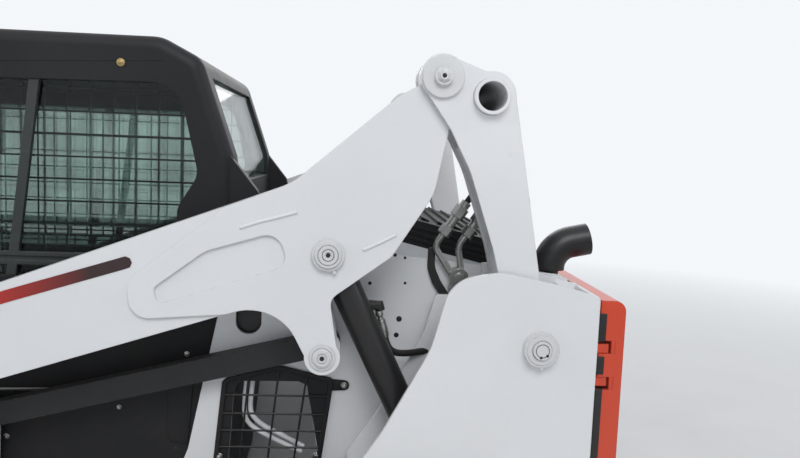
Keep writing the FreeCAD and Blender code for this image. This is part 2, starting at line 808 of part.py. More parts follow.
def make_bucket():
    top = S.bucket_top_height
    sheet_thick = S.bucket_sheet
    front = fore(S.bucket_tip_reach) - S.edge_depth
    inner_half = S.bucket_half_width - S.bucket_side_thick
    foot = fore(bucket_foot_reach)
    shell = plate("bucket_sheet", [
        (front, sized(0)),
        (foot, sized(0), S.bucket_heel_round),
        (fore(bucket_top_reach), top),
        (fore(bucket_top_reach) + sheet_thick, top),
        (foot + sheet_thick + 2, sheet_thick, S.bucket_heel_round - sheet_thick),
        (front, sheet_thick),
    ], -inner_half, inner_half * 2)
    side = plate("bucket_side", [
        (front, sized(0)),
        (foot, sized(0), S.bucket_heel_round),
        (fore(bucket_top_reach), top),
        (fore(bucket_top_reach) + 110, top, 60),
        (front + 30, sized(150), 80),
        (front + 30, sized(30), 10),
    ], inner_half, S.bucket_side_thick)
    rim = plate("bucket_rim", [
        (fore(bucket_top_reach) + 4, top - 60),
        (fore(bucket_top_reach) + sheet_thick + 24, top - 50),
        (fore(bucket_top_reach) + sheet_thick + 28, top),
        (fore(bucket_top_reach), top),
    ], -inner_half, inner_half * 2)
    hook = plate("bucket_hook", [
        (back_reach(S.carrier_top_height + 30), S.carrier_top_height + 30),
        (back_reach(S.carrier_top_height + 70), S.carrier_top_height + 70),
        (back_reach(S.carrier_top_height) - 26, S.carrier_top_height + 14),
        (back_reach(S.carrier_top_height) - 20, S.carrier_top_height + 1),
        (back_reach(S.carrier_top_height), S.carrier_top_height + 1),
    ], -S.carrier_half_width, S.carrier_half_width * 2)
    node("bucket_shell", fuse("bucket_shell", [shell, side, mirrored("bucket_side_far", side), rim, hook]))
    edge = plate("cutting_edge", [
        (front, sized(0)),
        (fore(S.bucket_tip_reach), sized(0)),
        (fore(S.bucket_tip_reach) - 4, sized(6)),
        (fore(S.bucket_tip_reach) - 34, S.edge_thick),
        (front, S.edge_thick),
    ], -S.bucket_half_width, S.bucket_half_width * 2)
    side_space = box("edge_side_space", (front - 1, front + 31), (-S.bucket_half_width - 1, -inner_half),
                     (-1, S.edge_thick + 1))
    node("cutting_edge", cut("cutting_edge_shape", edge, [side_space, mirrored("edge_side_space_far", side_space)]))


def make_carrier():
    low = S.carrier_foot_height
    high = S.carrier_top_height
    gap = S.fit_gap
    board = plate("carrier_board", [
        (back_reach(low) - gap, low),
        (back_reach(high) - gap, high),
        (back_reach(high) - gap - S.carrier_thick, high),
        (back_reach(low) - gap - S.carrier_thick, low),
    ], -S.carrier_half_width, S.carrier_half_width * 2)
    block_low = S.lug_inner_side
    block = plate("carrier_block", [
        (bucket_pin[0] + 83, bucket_pin[1] - 95, 8),
        (back_reach(105) - gap, bucket_pin[1] - 95),
        (back_reach(285) - gap, bucket_pin[1] + 85),
        (bucket_pin[0] + 101, bucket_pin[1] + 85, 8),
    ], block_low - 10, S.lug_outer_side + S.lug_thick - block_low + 10)
    ear_profile = [
        (bucket_pin[0] - 8, bucket_pin[1] - 42, 20),
        (bucket_pin[0] + 90, bucket_pin[1] - 90, 10),
        (bucket_pin[0] + 110, bucket_pin[1] + 80, 10),
        (bucket_pin[0] - 8, bucket_pin[1] + 42, 20),
    ]
    lug_profile = [
        (bucket_pin[0] + 101, bucket_pin[1] + 40),
        (back_reach(240) - gap, bucket_pin[1] + 40),
        (back_reach(380) - gap, tilt_eye[1] + 43, 10),
        (tilt_eye[0] - 10, tilt_eye[1] + 34, 20),
        (tilt_eye[0] - 34, tilt_eye[1] - 12, 20),
    ]
    pieces = [board, block, mirrored("carrier_block_far", block)]
    for place, side, profile in (
        ("inner_lug", S.lug_inner_side, lug_profile),
        ("middle_lug", S.lug_middle_side, lug_profile),
        ("middle_ear", S.lug_middle_side, ear_profile),
        ("outer_ear", S.lug_outer_side, ear_profile),
    ):
        lug = plate("carrier_" + place, profile, side, S.lug_thick)
        pieces += [lug, mirrored(f"carrier_{place}_far", lug)]
    inner_lug = S.lug_inner_side
    outer_ear = S.lug_outer_side + S.lug_thick
    for name, centre, radius, side, end in (
        ("hinge_pin", bucket_pin, S.pin_radius, S.lug_middle_side, outer_ear + 8),
        ("hinge_head", bucket_pin, S.pin_radius + 12, outer_ear - 1, outer_ear + 6),
        ("tilt_head", tilt_eye, S.tilt_pin_radius + 6, inner_lug - 7, inner_lug + 1),
    ):
        head = disc("carrier_" + name, centre, radius, side, end)
        pieces += [head, mirrored(f"carrier_{name}_far", head)]
    node("bucket_carrier", fuse("bucket_carrier", pieces))


# Tyre, drawn about the axle along +Y: a carcass in flat-faced steps, two rows of slanted lugs fused to it
# The carcass profile's rows are: side from the middle, radius
def make_tyre():
    half = S.tyre_width / 2
    seat = S.rim_radius
    rim_half = S.rim_width / 2
    flange_side = rim_half - S.rim_flange_thick - S.fit_gap
    tread = S.tyre_radius - S.lug_depth
    half_profile = [
        (flange_side, seat + S.fit_gap),
        (flange_side, seat + S.rim_flange_high + 6),
        (half, seat + 75),
        (half - 5, S.tyre_radius - S.tyre_shoulder - 20),
        (half - 34, tread),
    ]
    profile = half_profile + [(-side, radius) for side, radius in reversed(half_profile)]
    steps = 2 * sizes["lug_count"]
    pitch = 2 * math.pi / steps
    rings = []
    for step in range(steps):
        angle = pitch * (step + 0.5)
        out = FreeCAD.Vector(math.cos(angle), 0, math.sin(angle)) / math.cos(pitch / 2)
        rings.append([FreeCAD.Vector(0, side.number, 0) + out * radius.number for side, radius in profile])
    faces = []
    for here, there in zip(rings, rings[1:] + rings[:1]):
        for start, end in zip(range(len(profile)), [*range(1, len(profile)), 0]):
            corners = [here[start], here[end], there[end], there[start], here[start]]
            faces.append(Part.Face(Part.makePolygon(corners)))
    carcass = doc.addObject("Part::Feature", "tyre_carcass")
    carcass.Shape = Part.makeSolid(Part.makeShell(faces))
    lug_profile = [
        (sized(6), tread - 6),
        (half - 36, tread - 6),
        (half - 1, S.tyre_radius - S.tyre_shoulder - 20),
        (half - 14, S.tyre_radius),
        (sized(6), S.tyre_radius),
    ]
    lug = plate("tyre_lug", lug_profile, -S.lug_width / 2, S.lug_width, "YZ_Plane")
    slanted = FreeCAD.Rotation(FreeCAD.Vector(0, 0, 1), -sizes["lug_slant"])
    shift = (S.tyre_width / 4).number * math.tan(math.radians(sizes["lug_slant"]))
    middle = group("tyre_lug_slanted", [lug])
    middle.Placement = FreeCAD.Placement(FreeCAD.Vector(-shift, 0, 0), slanted)
    lugs = []
    for step in range(steps):
        turn = FreeCAD.Rotation(FreeCAD.Vector(0, 1, 0), 180 + math.degrees(pitch) * step)
        way = FreeCAD.Rotation(FreeCAD.Vector(0, 0, 1), 180 * (step % 2))
        placed = group(f"tyre_lug_{step}", [middle])
        placed.Placement = FreeCAD.Placement(FreeCAD.Vector(0, 0, 0), turn.multiply(way))
        lugs.append(placed)
    return fuse("tyre_shape", [carcass] + lugs)


# Wheels: the tyre goes on a turned rim
def make_wheels():
    seat = S.rim_radius
    rim_half = S.rim_width / 2
    axles = (("rear", sized(0)), ("front", S.wheelbase))
    tyre = make_tyre()
    disc_out = rim_half - S.rim_disc_inset
    rim_profile = [
        (-rim_half, seat + S.rim_flange_high),
        (-rim_half, seat - 6),
        (-rim_half + 40, seat - S.rim_wall - 4),
        (-rim_half + 60, seat - 40),
        (disc_out - S.rim_disc_thick - 20, seat - 48),
        (disc_out - S.rim_disc_thick, seat - 60),
        (disc_out - S.rim_disc_thick, sized(0)),
        (disc_out, sized(0)),
        (disc_out, seat - 70),
        (disc_out + 20, seat - S.rim_wall - 26),
        (rim_half - 10, seat - S.rim_wall - 4),
        (rim_half, seat - 6),
        (rim_half, seat + S.rim_flange_high),
        (rim_half - S.rim_flange_thick, seat + S.rim_flange_high),
        (rim_half - S.rim_flange_thick, seat),
        (-rim_half + S.rim_flange_thick, seat),
        (-rim_half + S.rim_flange_thick, seat + S.rim_flange_high),
    ]
    for place, reach in axles:
        for hand, sign in (("left", 1), ("right", -1)):
            name = f"{place}_{hand}"
            centre = (fore(reach), S.tyre_middle_side * sign, S.tyre_radius)
            copy = group(f"tyre_{name}_shape", [tyre])
            facing = FreeCAD.Rotation(FreeCAD.Vector(0, 0, 1), 90 * sign - 90)
            node(f"tyre_{name}", move(copy, centre, facing))
            node(f"rim_{name}", turned(f"rim_{name}_shape", rim_profile, centre, sign))


# A turned piece spins its profile, given as side and radius, about the axle
def turned(name, profile, centre, sign):
    body = doc.addObject("PartDesign::Body", name)
    sketch = body.newObject("Sketcher::SketchObject", name + "_profile")
    sketch.AttachmentSupport = (origin_plane(body, "XY_Plane"), [""])
    sketch.MapMode = "FlatFace"
    draw_outline(sketch, [(sized(row[0]), sized(row[1])) for row in profile])
    spin = body.newObject("PartDesign::Revolution", name + "_spin")
    spin.Profile = sketch
    spin.ReferenceAxis = (sketch, ["H_Axis"])
    spin.Angle = 360
    body.Tip = spin
    doc.recompute()
    facing = FreeCAD.Rotation(FreeCAD.Vector(0, 0, 1), 90 * sign)
    return move(body, centre, facing)


def make_axles():
    inner_face = S.tyre_middle_side + S.rim_width / 2 - S.rim_disc_inset - S.rim_disc_thick
    for_side = []
    for place, reach in (("rear", sized(0)), ("front", S.wheelbase)):
        centre = (fore(reach), S.tyre_radius)
        for_side.append(disc(f"axle_{place}", centre, S.axle_radius, S.wall_outer_side,
                             inner_face - S.fit_gap))
    both_sides("axle_housings", group("axles_near", for_side))


# Hood: a ribbed lid that falls to the rear, on a wedge-shaped upstand of the rear cover
cover_top = S.cover_low + S.cover_thick
hood_fall = (S.hood_high - S.hood_rear_high) / (S.hood_front_reach - S.hood_rear_reach)


def hood_underside(reach):
    return S.hood_high - S.hood_edge - hood_fall * (S.hood_front_reach - reach)


def hood_topside(reach):
    return hood_underside(reach) + S.hood_edge


def make_hood():
    low = cover_top + S.fit_gap
    half = S.hood_half_width
    wall = S.hood_wall
    front = S.hood_front_reach
    rear = S.hood_rear_reach
    heel = front - (S.hood_high - S.hood_edge - low) / hood_fall
    hood = plate("hood_top", in_frame([
        (front, hood_underside(front)), (front, S.hood_high, 25),
        (rear, S.hood_rear_high, 30), (rear, low), (heel, low),
    ]), -half, half * 2)
    hollow = plate("hood_hollow", in_frame([
        (front - wall, low - 5), (front - wall, hood_topside(front - wall) - wall),
        (rear + wall, hood_topside(rear + wall) - wall), (rear + wall, low - 5),
    ]), wall - half, (half - wall) * 2)
    ribs = []
    for number in range(3):
        drop = 16 + 18 * number
        ends = (front - 20, heel + 40)
        ribs.append(plate(f"hood_rib_{number}", in_frame([
            (ends[0], hood_topside(ends[0]) - drop), (ends[0], hood_topside(ends[0]) - drop - 8),
            (ends[1], hood_topside(ends[1]) - drop - 8), (ends[1], hood_topside(ends[1]) - drop),
        ]), -half - S.hood_rib_proud, (half + S.hood_rib_proud) * 2))
    louver_pitch = (front - rear - 120) / S.hood_louver_count
    for number in range(sizes["hood_louver_count"]):
        reach = front - 60 - louver_pitch * number
        ribs.append(plate(f"hood_louver_{number}", in_frame([
            (reach, hood_topside(reach) - 4), (reach - 4, hood_topside(reach) + 9),
            (reach - 26, hood_topside(reach - 26) + 5), (reach - 26, hood_topside(reach - 26) - 4),
        ]), -half + 60, half * 2 - 120))
    hinge_spot = spot(S.hood_hinge_reach, S.hood_hinge_height)
    side = S.hood_hinge_side
    wide = S.hood_hinge_width
    knuckle = cut("hood_knuckle", fuse("hood_knuckle_full", [
        disc("hood_knuckle_eye", hinge_spot, 14, side, side + wide),
        box("hood_knuckle_arm", (fore(front) - 5, hinge_spot[0]), (side, side + wide),
            (hinge_spot[1] - 4, hinge_spot[1] + 13)),
    ]), [disc("hood_knuckle_bore", hinge_spot, 7.3, side - 1, side + wide + 1)])
    lid = cut("hood_shell", fuse("hood_ribbed", [hood] + ribs), [hollow])
    node("engine_hood", fuse("engine_hood", [lid, knuckle, mirrored("hood_knuckle_far", knuckle)]))


# Engine, kept as one plain mass on the bearers
def make_engine():
    node("engine_block", box("engine_block", (fore(-640), fore(-200)), (-250, 250),
                             (S.engine_bearer_height, 1080)))
    wall_inner = S.wall_outer_side - S.wall_thick
    cover_high = cover_top
    cover = box("rear_cover_plate", (fore(S.frame_rear_reach), fore(-140)), (-wall_inner, wall_inner),
                (S.cover_low, cover_high))
    half = S.hood_half_width
    ends = (S.hood_front_reach - 7, -545)
    upstand = cut("cover_upstand", plate("cover_upstand_full", in_frame([
        (ends[0], cover_high - 1), (ends[0], hood_underside(ends[0]) - S.fit_gap),
        (ends[1], hood_underside(ends[1]) - S.fit_gap), (ends[1], cover_high - 1),
    ]), -half, half * 2), [
        box("cover_upstand_hollow", (fore(-700), fore(ends[0]) - S.hood_wall), (S.hood_wall - half, half - S.hood_wall),
            (S.cover_low - 5, S.hood_high)),
    ])
    opening = box("rear_cover_opening", (fore(-600), fore(-220)), (-400, 400),
                  (S.cover_low - 5, cover_high + 5))
    outlet = disc_up("rear_cover_outlet", (fore(S.exhaust_reach), S.exhaust_side),
                     S.exhaust_radius + S.fit_gap, S.cover_low - 5, cover_high + 5)
    hinge_spot = spot(S.hood_hinge_reach, S.hood_hinge_height)
    side = S.hood_hinge_side
    wide = S.hood_hinge_width
    ears = []
    for place, low in (("near", side - 10), ("far", side + wide + 1)):
        ears.append(plate(f"hood_ear_{place}", [
            (hinge_spot[0] - 16, cover_high - 1), (hinge_spot[0] + 16, cover_high - 1),
            (hinge_spot[0] + 12, hinge_spot[1] + 12, 10), (hinge_spot[0] - 12, hinge_spot[1] + 12, 10),
        ], low, 9))
    ears.append(disc("hood_hinge_rod", hinge_spot, 7, side - 14, side + wide + 14))
    mount = fuse("hood_mount", ears)
    pierced = cut("rear_cover_pierced", cover, [opening, outlet])
    node("rear_cover", fuse("rear_cover", [pierced, upstand, mount, mirrored("hood_mount_far", mount)]))


def disc_up(name, centre, radius, low, high):
    cylinder = doc.addObject("Part::Cylinder", name)
    bind(cylinder, "Radius", radius)
    bind(cylinder, "Height", sized(high) - low)
    return move(cylinder, (centre[0], centre[1], low))


def make_exhaust():
    spot_up = (fore(S.exhaust_reach), S.exhaust_side)
    centre = FreeCAD.Vector(fore(S.exhaust_reach).number, S.exhaust_side.number, 0)
    bend = S.exhaust_bend_radius.number
    turn = math.radians(S.exhaust_turn.number)
    start = centre + FreeCAD.Vector(0, 0, S.exhaust_bend_height.number)

    end = start + FreeCAD.Vector(-bend * (1 - math.cos(turn)), 0, bend * math.sin(turn))
    way = FreeCAD.Vector(-math.sin(turn), 0, math.cos(turn))
    middle = start - FreeCAD.Vector(bend, 0, 0)
    sweeps = []
    for radius in (S.exhaust_elbow_radius, S.exhaust_elbow_radius - S.exhaust_wall):
        ring = Part.Face(Part.Wire(Part.Circle(start, FreeCAD.Vector(0, 0, 1), radius.number).toShape()))
        bent = ring.revolve(middle, FreeCAD.Vector(0, -1, 0), S.exhaust_turn.number)
        straight = Part.makeCylinder(radius.number, S.exhaust_tail_length.number, end, way)
        sweeps.append(bent.fuse(straight))
    elbow = doc.addObject("Part::Feature", "exhaust_elbow")
    elbow.Shape = sweeps[0].cut(sweeps[1])
    high = S.exhaust_bend_height
    stem = cut("exhaust_stem", fuse("exhaust_stem_full", [
        disc_up("exhaust_lower", spot_up, S.exhaust_radius, S.exhaust_low, high),
        disc_up("exhaust_collar", spot_up, S.exhaust_elbow_radius, high - 5, high),
    ]), [
        disc_up("exhaust_bore", spot_up, S.exhaust_radius - S.exhaust_wall, S.exhaust_low - 5, high + 5),
    ])
    node("exhaust_pipe", fuse("exhaust_pipe", [stem, elbow]))


# A line runs straight between its corners, with a tangent arc at each
def swept(name, thickness, corners):
    spots = [FreeCAD.Vector(*[sized(value).number for value in corner]) for corner in corners]
    bar = thickness.number
    pieces = []
    start = spots[0]
    for before, corner, after in zip(spots, spots[1:], spots[2:]):
        back = before - corner
        ahead = after - corner
        half_turn = (math.pi - back.getAngle(ahead)) / 2
        reach = 0.45 * min(back.Length, ahead.Length)
        back.normalize()
        ahead.normalize()
        inward = back + ahead
        inward.normalize()
        arc_start = corner + back * reach
        middle = corner + inward * (reach / math.sin(half_turn))
        ring = Part.Face(Part.Wire(Part.Circle(arc_start, -back, bar).toShape()))
        pieces.append(Part.makeCylinder(bar, (arc_start - start).Length, start, -back))
        pieces.append(ring.revolve(middle, ahead.cross(back), math.degrees(2 * half_turn)))
        start = corner + ahead * reach
    pieces.append(Part.makeCylinder(bar, (spots[-1] - start).Length, start, spots[-1] - start))
    line = doc.addObject("Part::Feature", name)
    line.Shape = pieces[0].fuse(pieces[1:])
    return line


# A turned fitting follows a line's direction: its rows are start, end and radius along it
def fittings(name, start, way, rows):
    pieces = []
    for count, (low, high, radius) in enumerate(rows):
        piece = doc.addObject("Part::Prism" if radius > 16 else "Part::Cylinder", f"{name}_{count}")
        if radius > 16:
            piece.Polygon = 6
            bind(piece, "Circumradius", radius)
        else:
            bind(piece, "Radius", radius)
        bind(piece, "Height", high - low)
        turn = FreeCAD.Rotation(FreeCAD.Vector(0, 0, 1), way)
        base = start + way * low
        piece.Placement = FreeCAD.Placement(base, turn)
        pieces.append(piece)
    return pieces


# Steel tubes rise from a capped block on the frame wall, and hoses go on from their unions to the cover
def make_hydraulics():
    side = S.line_side
    cap = (fore(S.line_cap_reach), S.line_cap_height)
    way = FreeCAD.Vector(-0.565, 0, 0.825)
    way.normalize()
    tube_radius = S.line_tube_radius
    steel = [
        disc("line_cap", cap, S.line_cap_radius, S.wall_outer_side, side + 23),
        disc("line_cap_head", cap, 12, side + 22, side + 31),
        disc("line_cap_foot", (cap[0] + 12, cap[1] - 33), 13, S.wall_outer_side, side + 8),
    ]
    hoses = []
    low = cover_top
    for name, foot, bend, rows, drop in (
        ("line_front", (22, 10), (70, 82), ((40, 68, 19), (68, 100, 13), (100, 132, 20), (132, 150, 14)), -578),
        ("line_rear", (-7, 20), (4, 84), ((34, 62, 19), (62, 80, 13), (80, 108, 20), (108, 122, 14)), -550),
    ):
        foot_spot = (cap[0] + foot[0], side, cap[1] + foot[1])
        bend_spot = (cap[0] + bend[0], side, cap[1] + bend[1])
        bent = FreeCAD.Vector(*[value.number for value in bend_spot])
        hose_start = bent + way * rows[-1][1]
        union_start = bent + way * (rows[0][0] + 2)
        steel.append(swept(name + "_tube", tube_radius, [foot_spot, bend_spot, tuple(union_start)]))
        steel += fittings(name + "_union", bent, way, rows)
        end_reach = fore(drop).number
        width = hose_start.x - end_reach
        run = width / 2.25
        first = hose_start + way * run
        crest = FreeCAD.Vector(first.x - run * 0.992, first.y - 14, first.z + run * 0.12)
        last = FreeCAD.Vector(end_reach, S.line_side.number - 56, crest.z - run * 0.66)
        foot_end = FreeCAD.Vector(end_reach, S.line_side.number - 56, low.number)
        hoses.append(swept(name + "_hose", S.line_hose_radius,
                           [tuple(hose_start), tuple(first), tuple(crest), tuple(last), tuple(foot_end)]))
    node("hydraulic_tubes", fuse("hydraulic_tubes", steel))
    guard = plate("hose_guard", in_frame([
        (-296, 1452, 5), (-316, 1456, 5), (-316, 1400, 60), (-334, 1362), (-372, 1304, 5), (-352, 1296, 5),
        (-312, 1352), (-296, 1395, 60),
    ]), S.wall_outer_side, 8)
    node("hydraulic_hoses", group("hydraulic_hoses", hoses + [guard]))


# Cab: one hollow shell with its windows and door opening cut through
cab_front_top = S.roof_height - S.cab_front_drop
roof_top = S.roof_height + S.roof_rise


def make_cab():
    half = S.cab_half_width
    outer = in_frame([
        (300, S.cab_floor_height, 60),
        (S.cab_front_foot_reach - 12, S.cab_floor_height, 60),
        (S.cab_front_foot_reach, S.cab_front_foot_height, 200),
        (S.cab_front_top_reach, cab_front_top, 40),
        (S.cab_front_top_reach - 60, S.roof_height, 60),
        (448, S.roof_height, 90),
        (340, S.roof_height - 55, 60),
        (250, S.roof_height - 320, 60),
        (235, 1100, 60),
    ])
    wall = S.cab_wall
    inner = in_frame([
        (345, S.cab_floor_height + S.cab_floor_thick, 40),
        (S.cab_front_foot_reach + 80, S.cab_floor_height + S.cab_floor_thick),
        (S.cab_front_foot_reach + 80, S.roof_height - 100),
        (S.cab_front_top_reach - 70, S.roof_height - S.roof_thick, 20),
        (470, S.roof_height - S.roof_thick, 60),
        (390, S.roof_height - 90, 40),
        (298, S.roof_height - 330, 60),
        (282, 1110, 60),
    ])
    side_window = in_frame([
        (402, S.sill_low, 40),
        (1333, S.sill_low, 60),
        (1290, S.roof_height - 138, 70),
        (398, S.roof_height - 124, 90),
        (342, S.roof_height - 372, 60),
        (398, S.roof_height - 462, 60),
    ])
    shell = side_rounded("cab_rounded", plate("cab_outer", outer, -half, half * 2), half, S.cab_side_round)
    hollow = plate("cab_inner", inner, -half + wall, (half - wall) * 2)
    windows = plate("cab_side_window", side_window, -half - 10, half * 2 + 20)
    rear_half = S.rear_pane_half_width
    rear_window = box("cab_rear_window", (fore(150), fore(460)), (-rear_half, rear_half),
                      (S.rear_pane_low, S.rear_pane_high))
    front = plate("cab_front_trim", in_frame([
        (S.cab_front_foot_reach - 44, S.cab_floor_height + 4),
        (S.cab_front_foot_reach - 12, S.cab_floor_height + 4),
        (S.cab_front_foot_reach, S.cab_front_foot_height),
        (S.cab_front_top_reach, cab_front_top),
        (S.cab_front_top_reach - 40, cab_front_top),
        (S.cab_front_foot_reach - 40, S.cab_front_foot_height),
    ]), S.cab_side_round - half, (half - S.cab_side_round) * 2)
    door_way = box("cab_door_way", (fore(S.cab_front_foot_reach) - 300, fore(S.cab_front_foot_reach) + 200),
                   (-half + 95, half - 95), (S.cab_front_foot_height + 60, cab_front_top - 120))
    rise = plate("cab_roof_rise", in_frame([
        (520, S.roof_height - 4), (1290, S.roof_height - 4), (1260, roof_top, 30),
        (560, roof_top, 30),
    ]), -330, 660)
    knee = S.roof_height - 320
    gusset = plate("cab_gusset", in_frame([
        (262, knee + 10), (180, knee - 92, 20), (172, knee - 130, 20), (120, knee - 160, 10),
        (120, knee - 200, 10), (262, knee - 240),
    ]), half - wall, wall - 10)
    frame = cut("cab_body", shell, [hollow, windows, rear_window])
    whole = cut("cab_shell", fuse("cab_with_front", [frame, front, rise, gusset, mirrored("cab_gusset_far", gusset)]),
                [door_way])
    node("cab_shell", whole)
    glass_low = half - S.glass_inset - S.glass_thick
    pane = plate("side_glass", side_window, glass_low, S.glass_thick)
    low = S.rear_pane_low + S.fit_gap
    high = S.rear_pane_high - S.fit_gap
    thick = S.glass_thick
    low_reach = 250 - (knee - low) * 15 / 580 + 10
    high_reach = 250 + (high - knee) * 90 / 265 + 10
    rear_pane = plate("rear_glass", in_frame([
        (low_reach, low), (sized(260), knee), (high_reach, high),
        (high_reach + thick, high), (sized(260) + thick, knee), (low_reach + thick, low),
    ]), S.fit_gap - rear_half, (rear_half - S.fit_gap) * 2)
    node("cab_glass", group("cab_glass", [pane, mirrored("side_glass_far", pane), rear_pane]))
    make_slider_frames(side_window)
    make_screens(side_window)


# A plate's two flat sides get a rounded edge all the way about
def side_rounded(name, base, half, radius):
    doc.recompute()
    edges = []
    for number, edge in enumerate(base.Shape.Edges, start=1):
        box_of = edge.BoundBox
        if box_of.YLength < 0.01 and abs(abs(box_of.YMin) - half.number) < 0.01:
            edges.append((number, radius.number, radius.number))
    rounded = doc.addObject("Part::Fillet", name)
    rounded.Base = base
    rounded.Edges = edges
    return rounded


# Each side window's fixed frame: a sill rail, a leaning bar between its panes and a rim, outside the glass
def make_slider_frames(side_window):
    low = S.cab_half_width - S.glass_inset + S.fit_gap
    thick = S.glass_inset - 4
    bar = plate("slider_bar", in_frame([
        (832, S.sill_low + 1), (832 + S.slider_bar_width, S.sill_low + 1),
        (766 + S.slider_bar_width, 1870), (766, 1870),
    ]), low, thick)
    rail = box("slider_rail", (fore(376), fore(1340)), (low, low + thick), (S.sill_rail_low, S.sill_rail_high))
    groove = box("slider_rail_groove", (fore(370), fore(1350)), (low + thick - 5, low + thick + 5),
                 (S.sill_rail_low + 12, S.sill_rail_high - 12))
    window_space = plate("slider_space", side_window, low - 5, thick + 10)
    near = doc.addObject("Part::Common", "slider_frame_near")
    near.Base = cut("slider_frame_full", fuse("slider_pieces", [bar, rail]), [groove])
    near.Tool = window_space
    near.Refine = False
    both_sides("window_frames", near)


# Wire guards stand inside the side windows, from the cab wall's inner face
def make_screens(side_window):
    low = S.cab_half_width - S.cab_wall - S.screen_wire * 2
    wires = []
    for number in range(15):
        reach = 376 + S.screen_pitch * number + 20
        wires.append(box(f"screen_upright_{number}", (fore(reach), fore(reach) + S.screen_wire),
                         (low, low + S.screen_wire), (S.sill_low - 12, 1880)))
    for number in range(9):
        height = S.sill_low + 18 + S.screen_pitch * number
        rise = (height - (S.roof_height - 330)) * 92 / 240
        start = fore(308) + rise if rise.number > 32 else fore(340)
        wires.append(box(f"screen_bar_{number}", (start, fore(1345)),
                         (low + S.screen_wire, low + S.screen_wire * 2), (height, height + S.screen_wire)))
    near = fuse("window_screen_near", wires)
    both_sides("window_screens", near)


def make_tail():
    front = fore(S.tail_reach) + S.tailgate_thick
    half = S.tailgate_half_width
    shell = plate("tailgate_panel", [
        (fore(S.tail_reach), S.tailgate_low, S.tailgate_round),
        (front, S.tailgate_low),
        (front, S.tailgate_high),
        (fore(S.tail_reach), S.tailgate_high, S.tailgate_round),
    ], -half, half * 2)
    hollow = box("tailgate_hollow", (fore(S.tail_reach) + 14, front + 10), (-half + 14, half - 14),
                 (S.tailgate_low + 14, S.tailgate_high - 14))
    opening = box("tailgate_opening", (fore(S.tail_reach) - 10, front + 10), (-430, 430), (760, 1180))
    lamp = box("tailgate_lamp_hole", (fore(S.tail_reach) - 10, front + 10), (540, 640), (960, 1120))
    hinge_spot = (fore(S.tailgate_hinge_reach), S.tailgate_hinge_side)
    knuckles = []
    posts = []
    bores = []
    for place, height in (("low", S.tailgate_hinge_low), ("high", S.tailgate_hinge_high)):
        knuckles.append(disc_up(f"tail_knuckle_{place}", hinge_spot, 13, height, height + 60))
        bores.append(disc_up(f"tail_bore_{place}", hinge_spot, 7.3, height - 45, height + 105))
        posts += [
            disc_up(f"tail_pin_{place}", hinge_spot, 7, height - 24, height + 84),
            box(f"tail_post_low_{place}", (hinge_spot[0] - 12, fore(S.tower_rear_reach)),
                (S.tailgate_hinge_side - 12, S.tailgate_hinge_side + 10), (height - 26, height - 2)),
            box(f"tail_post_high_{place}", (hinge_spot[0] - 12, fore(S.tower_rear_reach)),
                (S.tailgate_hinge_side - 12, S.tailgate_hinge_side + 10), (height + 62, height + 86)),
        ]
        bores.append(box(f"tail_post_space_{place}", (hinge_spot[0] - 28, front + 10),
                         (S.tailgate_hinge_side - 30, S.tailgate_hinge_side + 30), (height - 36, height - 1)))
        bores.append(box(f"tail_post_space_high_{place}", (hinge_spot[0] - 28, front + 10),
                         (S.tailgate_hinge_side - 30, S.tailgate_hinge_side + 30), (height + 61, height + 96)))
    pierced = cut("tailgate_pierced", shell, [hollow, opening, lamp, mirrored("tailgate_lamp_far", lamp)])
    node("tailgate_shell", cut("tailgate_shell", fuse("tailgate_full", [pierced] + knuckles), bores))
    node("tailgate_hinges", group("tailgate_hinges", [fuse("tail_posts", posts)]))
    bumper = plate("bumper_bar", [
        (fore(S.tail_reach), S.bumper_low, 20),
        (fore(S.tail_reach) + S.bumper_thick, S.bumper_low),
        (fore(S.tail_reach) + S.bumper_thick, S.bumper_high),
        (fore(S.tail_reach), S.bumper_high, 20),
    ], -S.bumper_half_width, S.bumper_half_width * 2)
    stay = box("bumper_stay", (fore(S.tail_reach) + S.bumper_thick - 5, fore(S.frame_rear_reach)),
               (S.wall_outer_side - 60, S.wall_outer_side), (S.bumper_low + 40, S.bumper_high - 5))
    tie_down = doc.addObject("Part::Cylinder", "bumper_tie_down")
    bind(tie_down, "Radius", S.tie_down_radius)
    bind(tie_down, "Height", S.bumper_thick + 10)
    move(tie_down, (fore(S.tail_reach) - 5, S.tie_down_side, S.tie_down_height), along_fore)
    whole = fuse("bumper_whole", [bumper, stay, mirrored("bumper_stay_far", stay)])
    node("rear_bumper", cut("rear_bumper", whole, [tie_down, mirrored("bumper_tie_down_far", tie_down)]))


def make_seat():
    base = box("seat_base", (fore(480), fore(900)), (-240, 240), (S.cab_floor_height + S.cab_floor_thick, 780))
    cushion = plate("seat_cushion", in_frame([
        (470, 780, 20), (930, 780, 30), (940, 880, 40), (470, 860, 20),
    ]), -250, 500)
    back = plate("seat_back", in_frame([
        (390, 800, 30), (500, 800), (440, 1330, 40), (340, 1330, 40),
    ]), -240, 480)
    node("seat", fuse("seat", [base, cushion, back]))


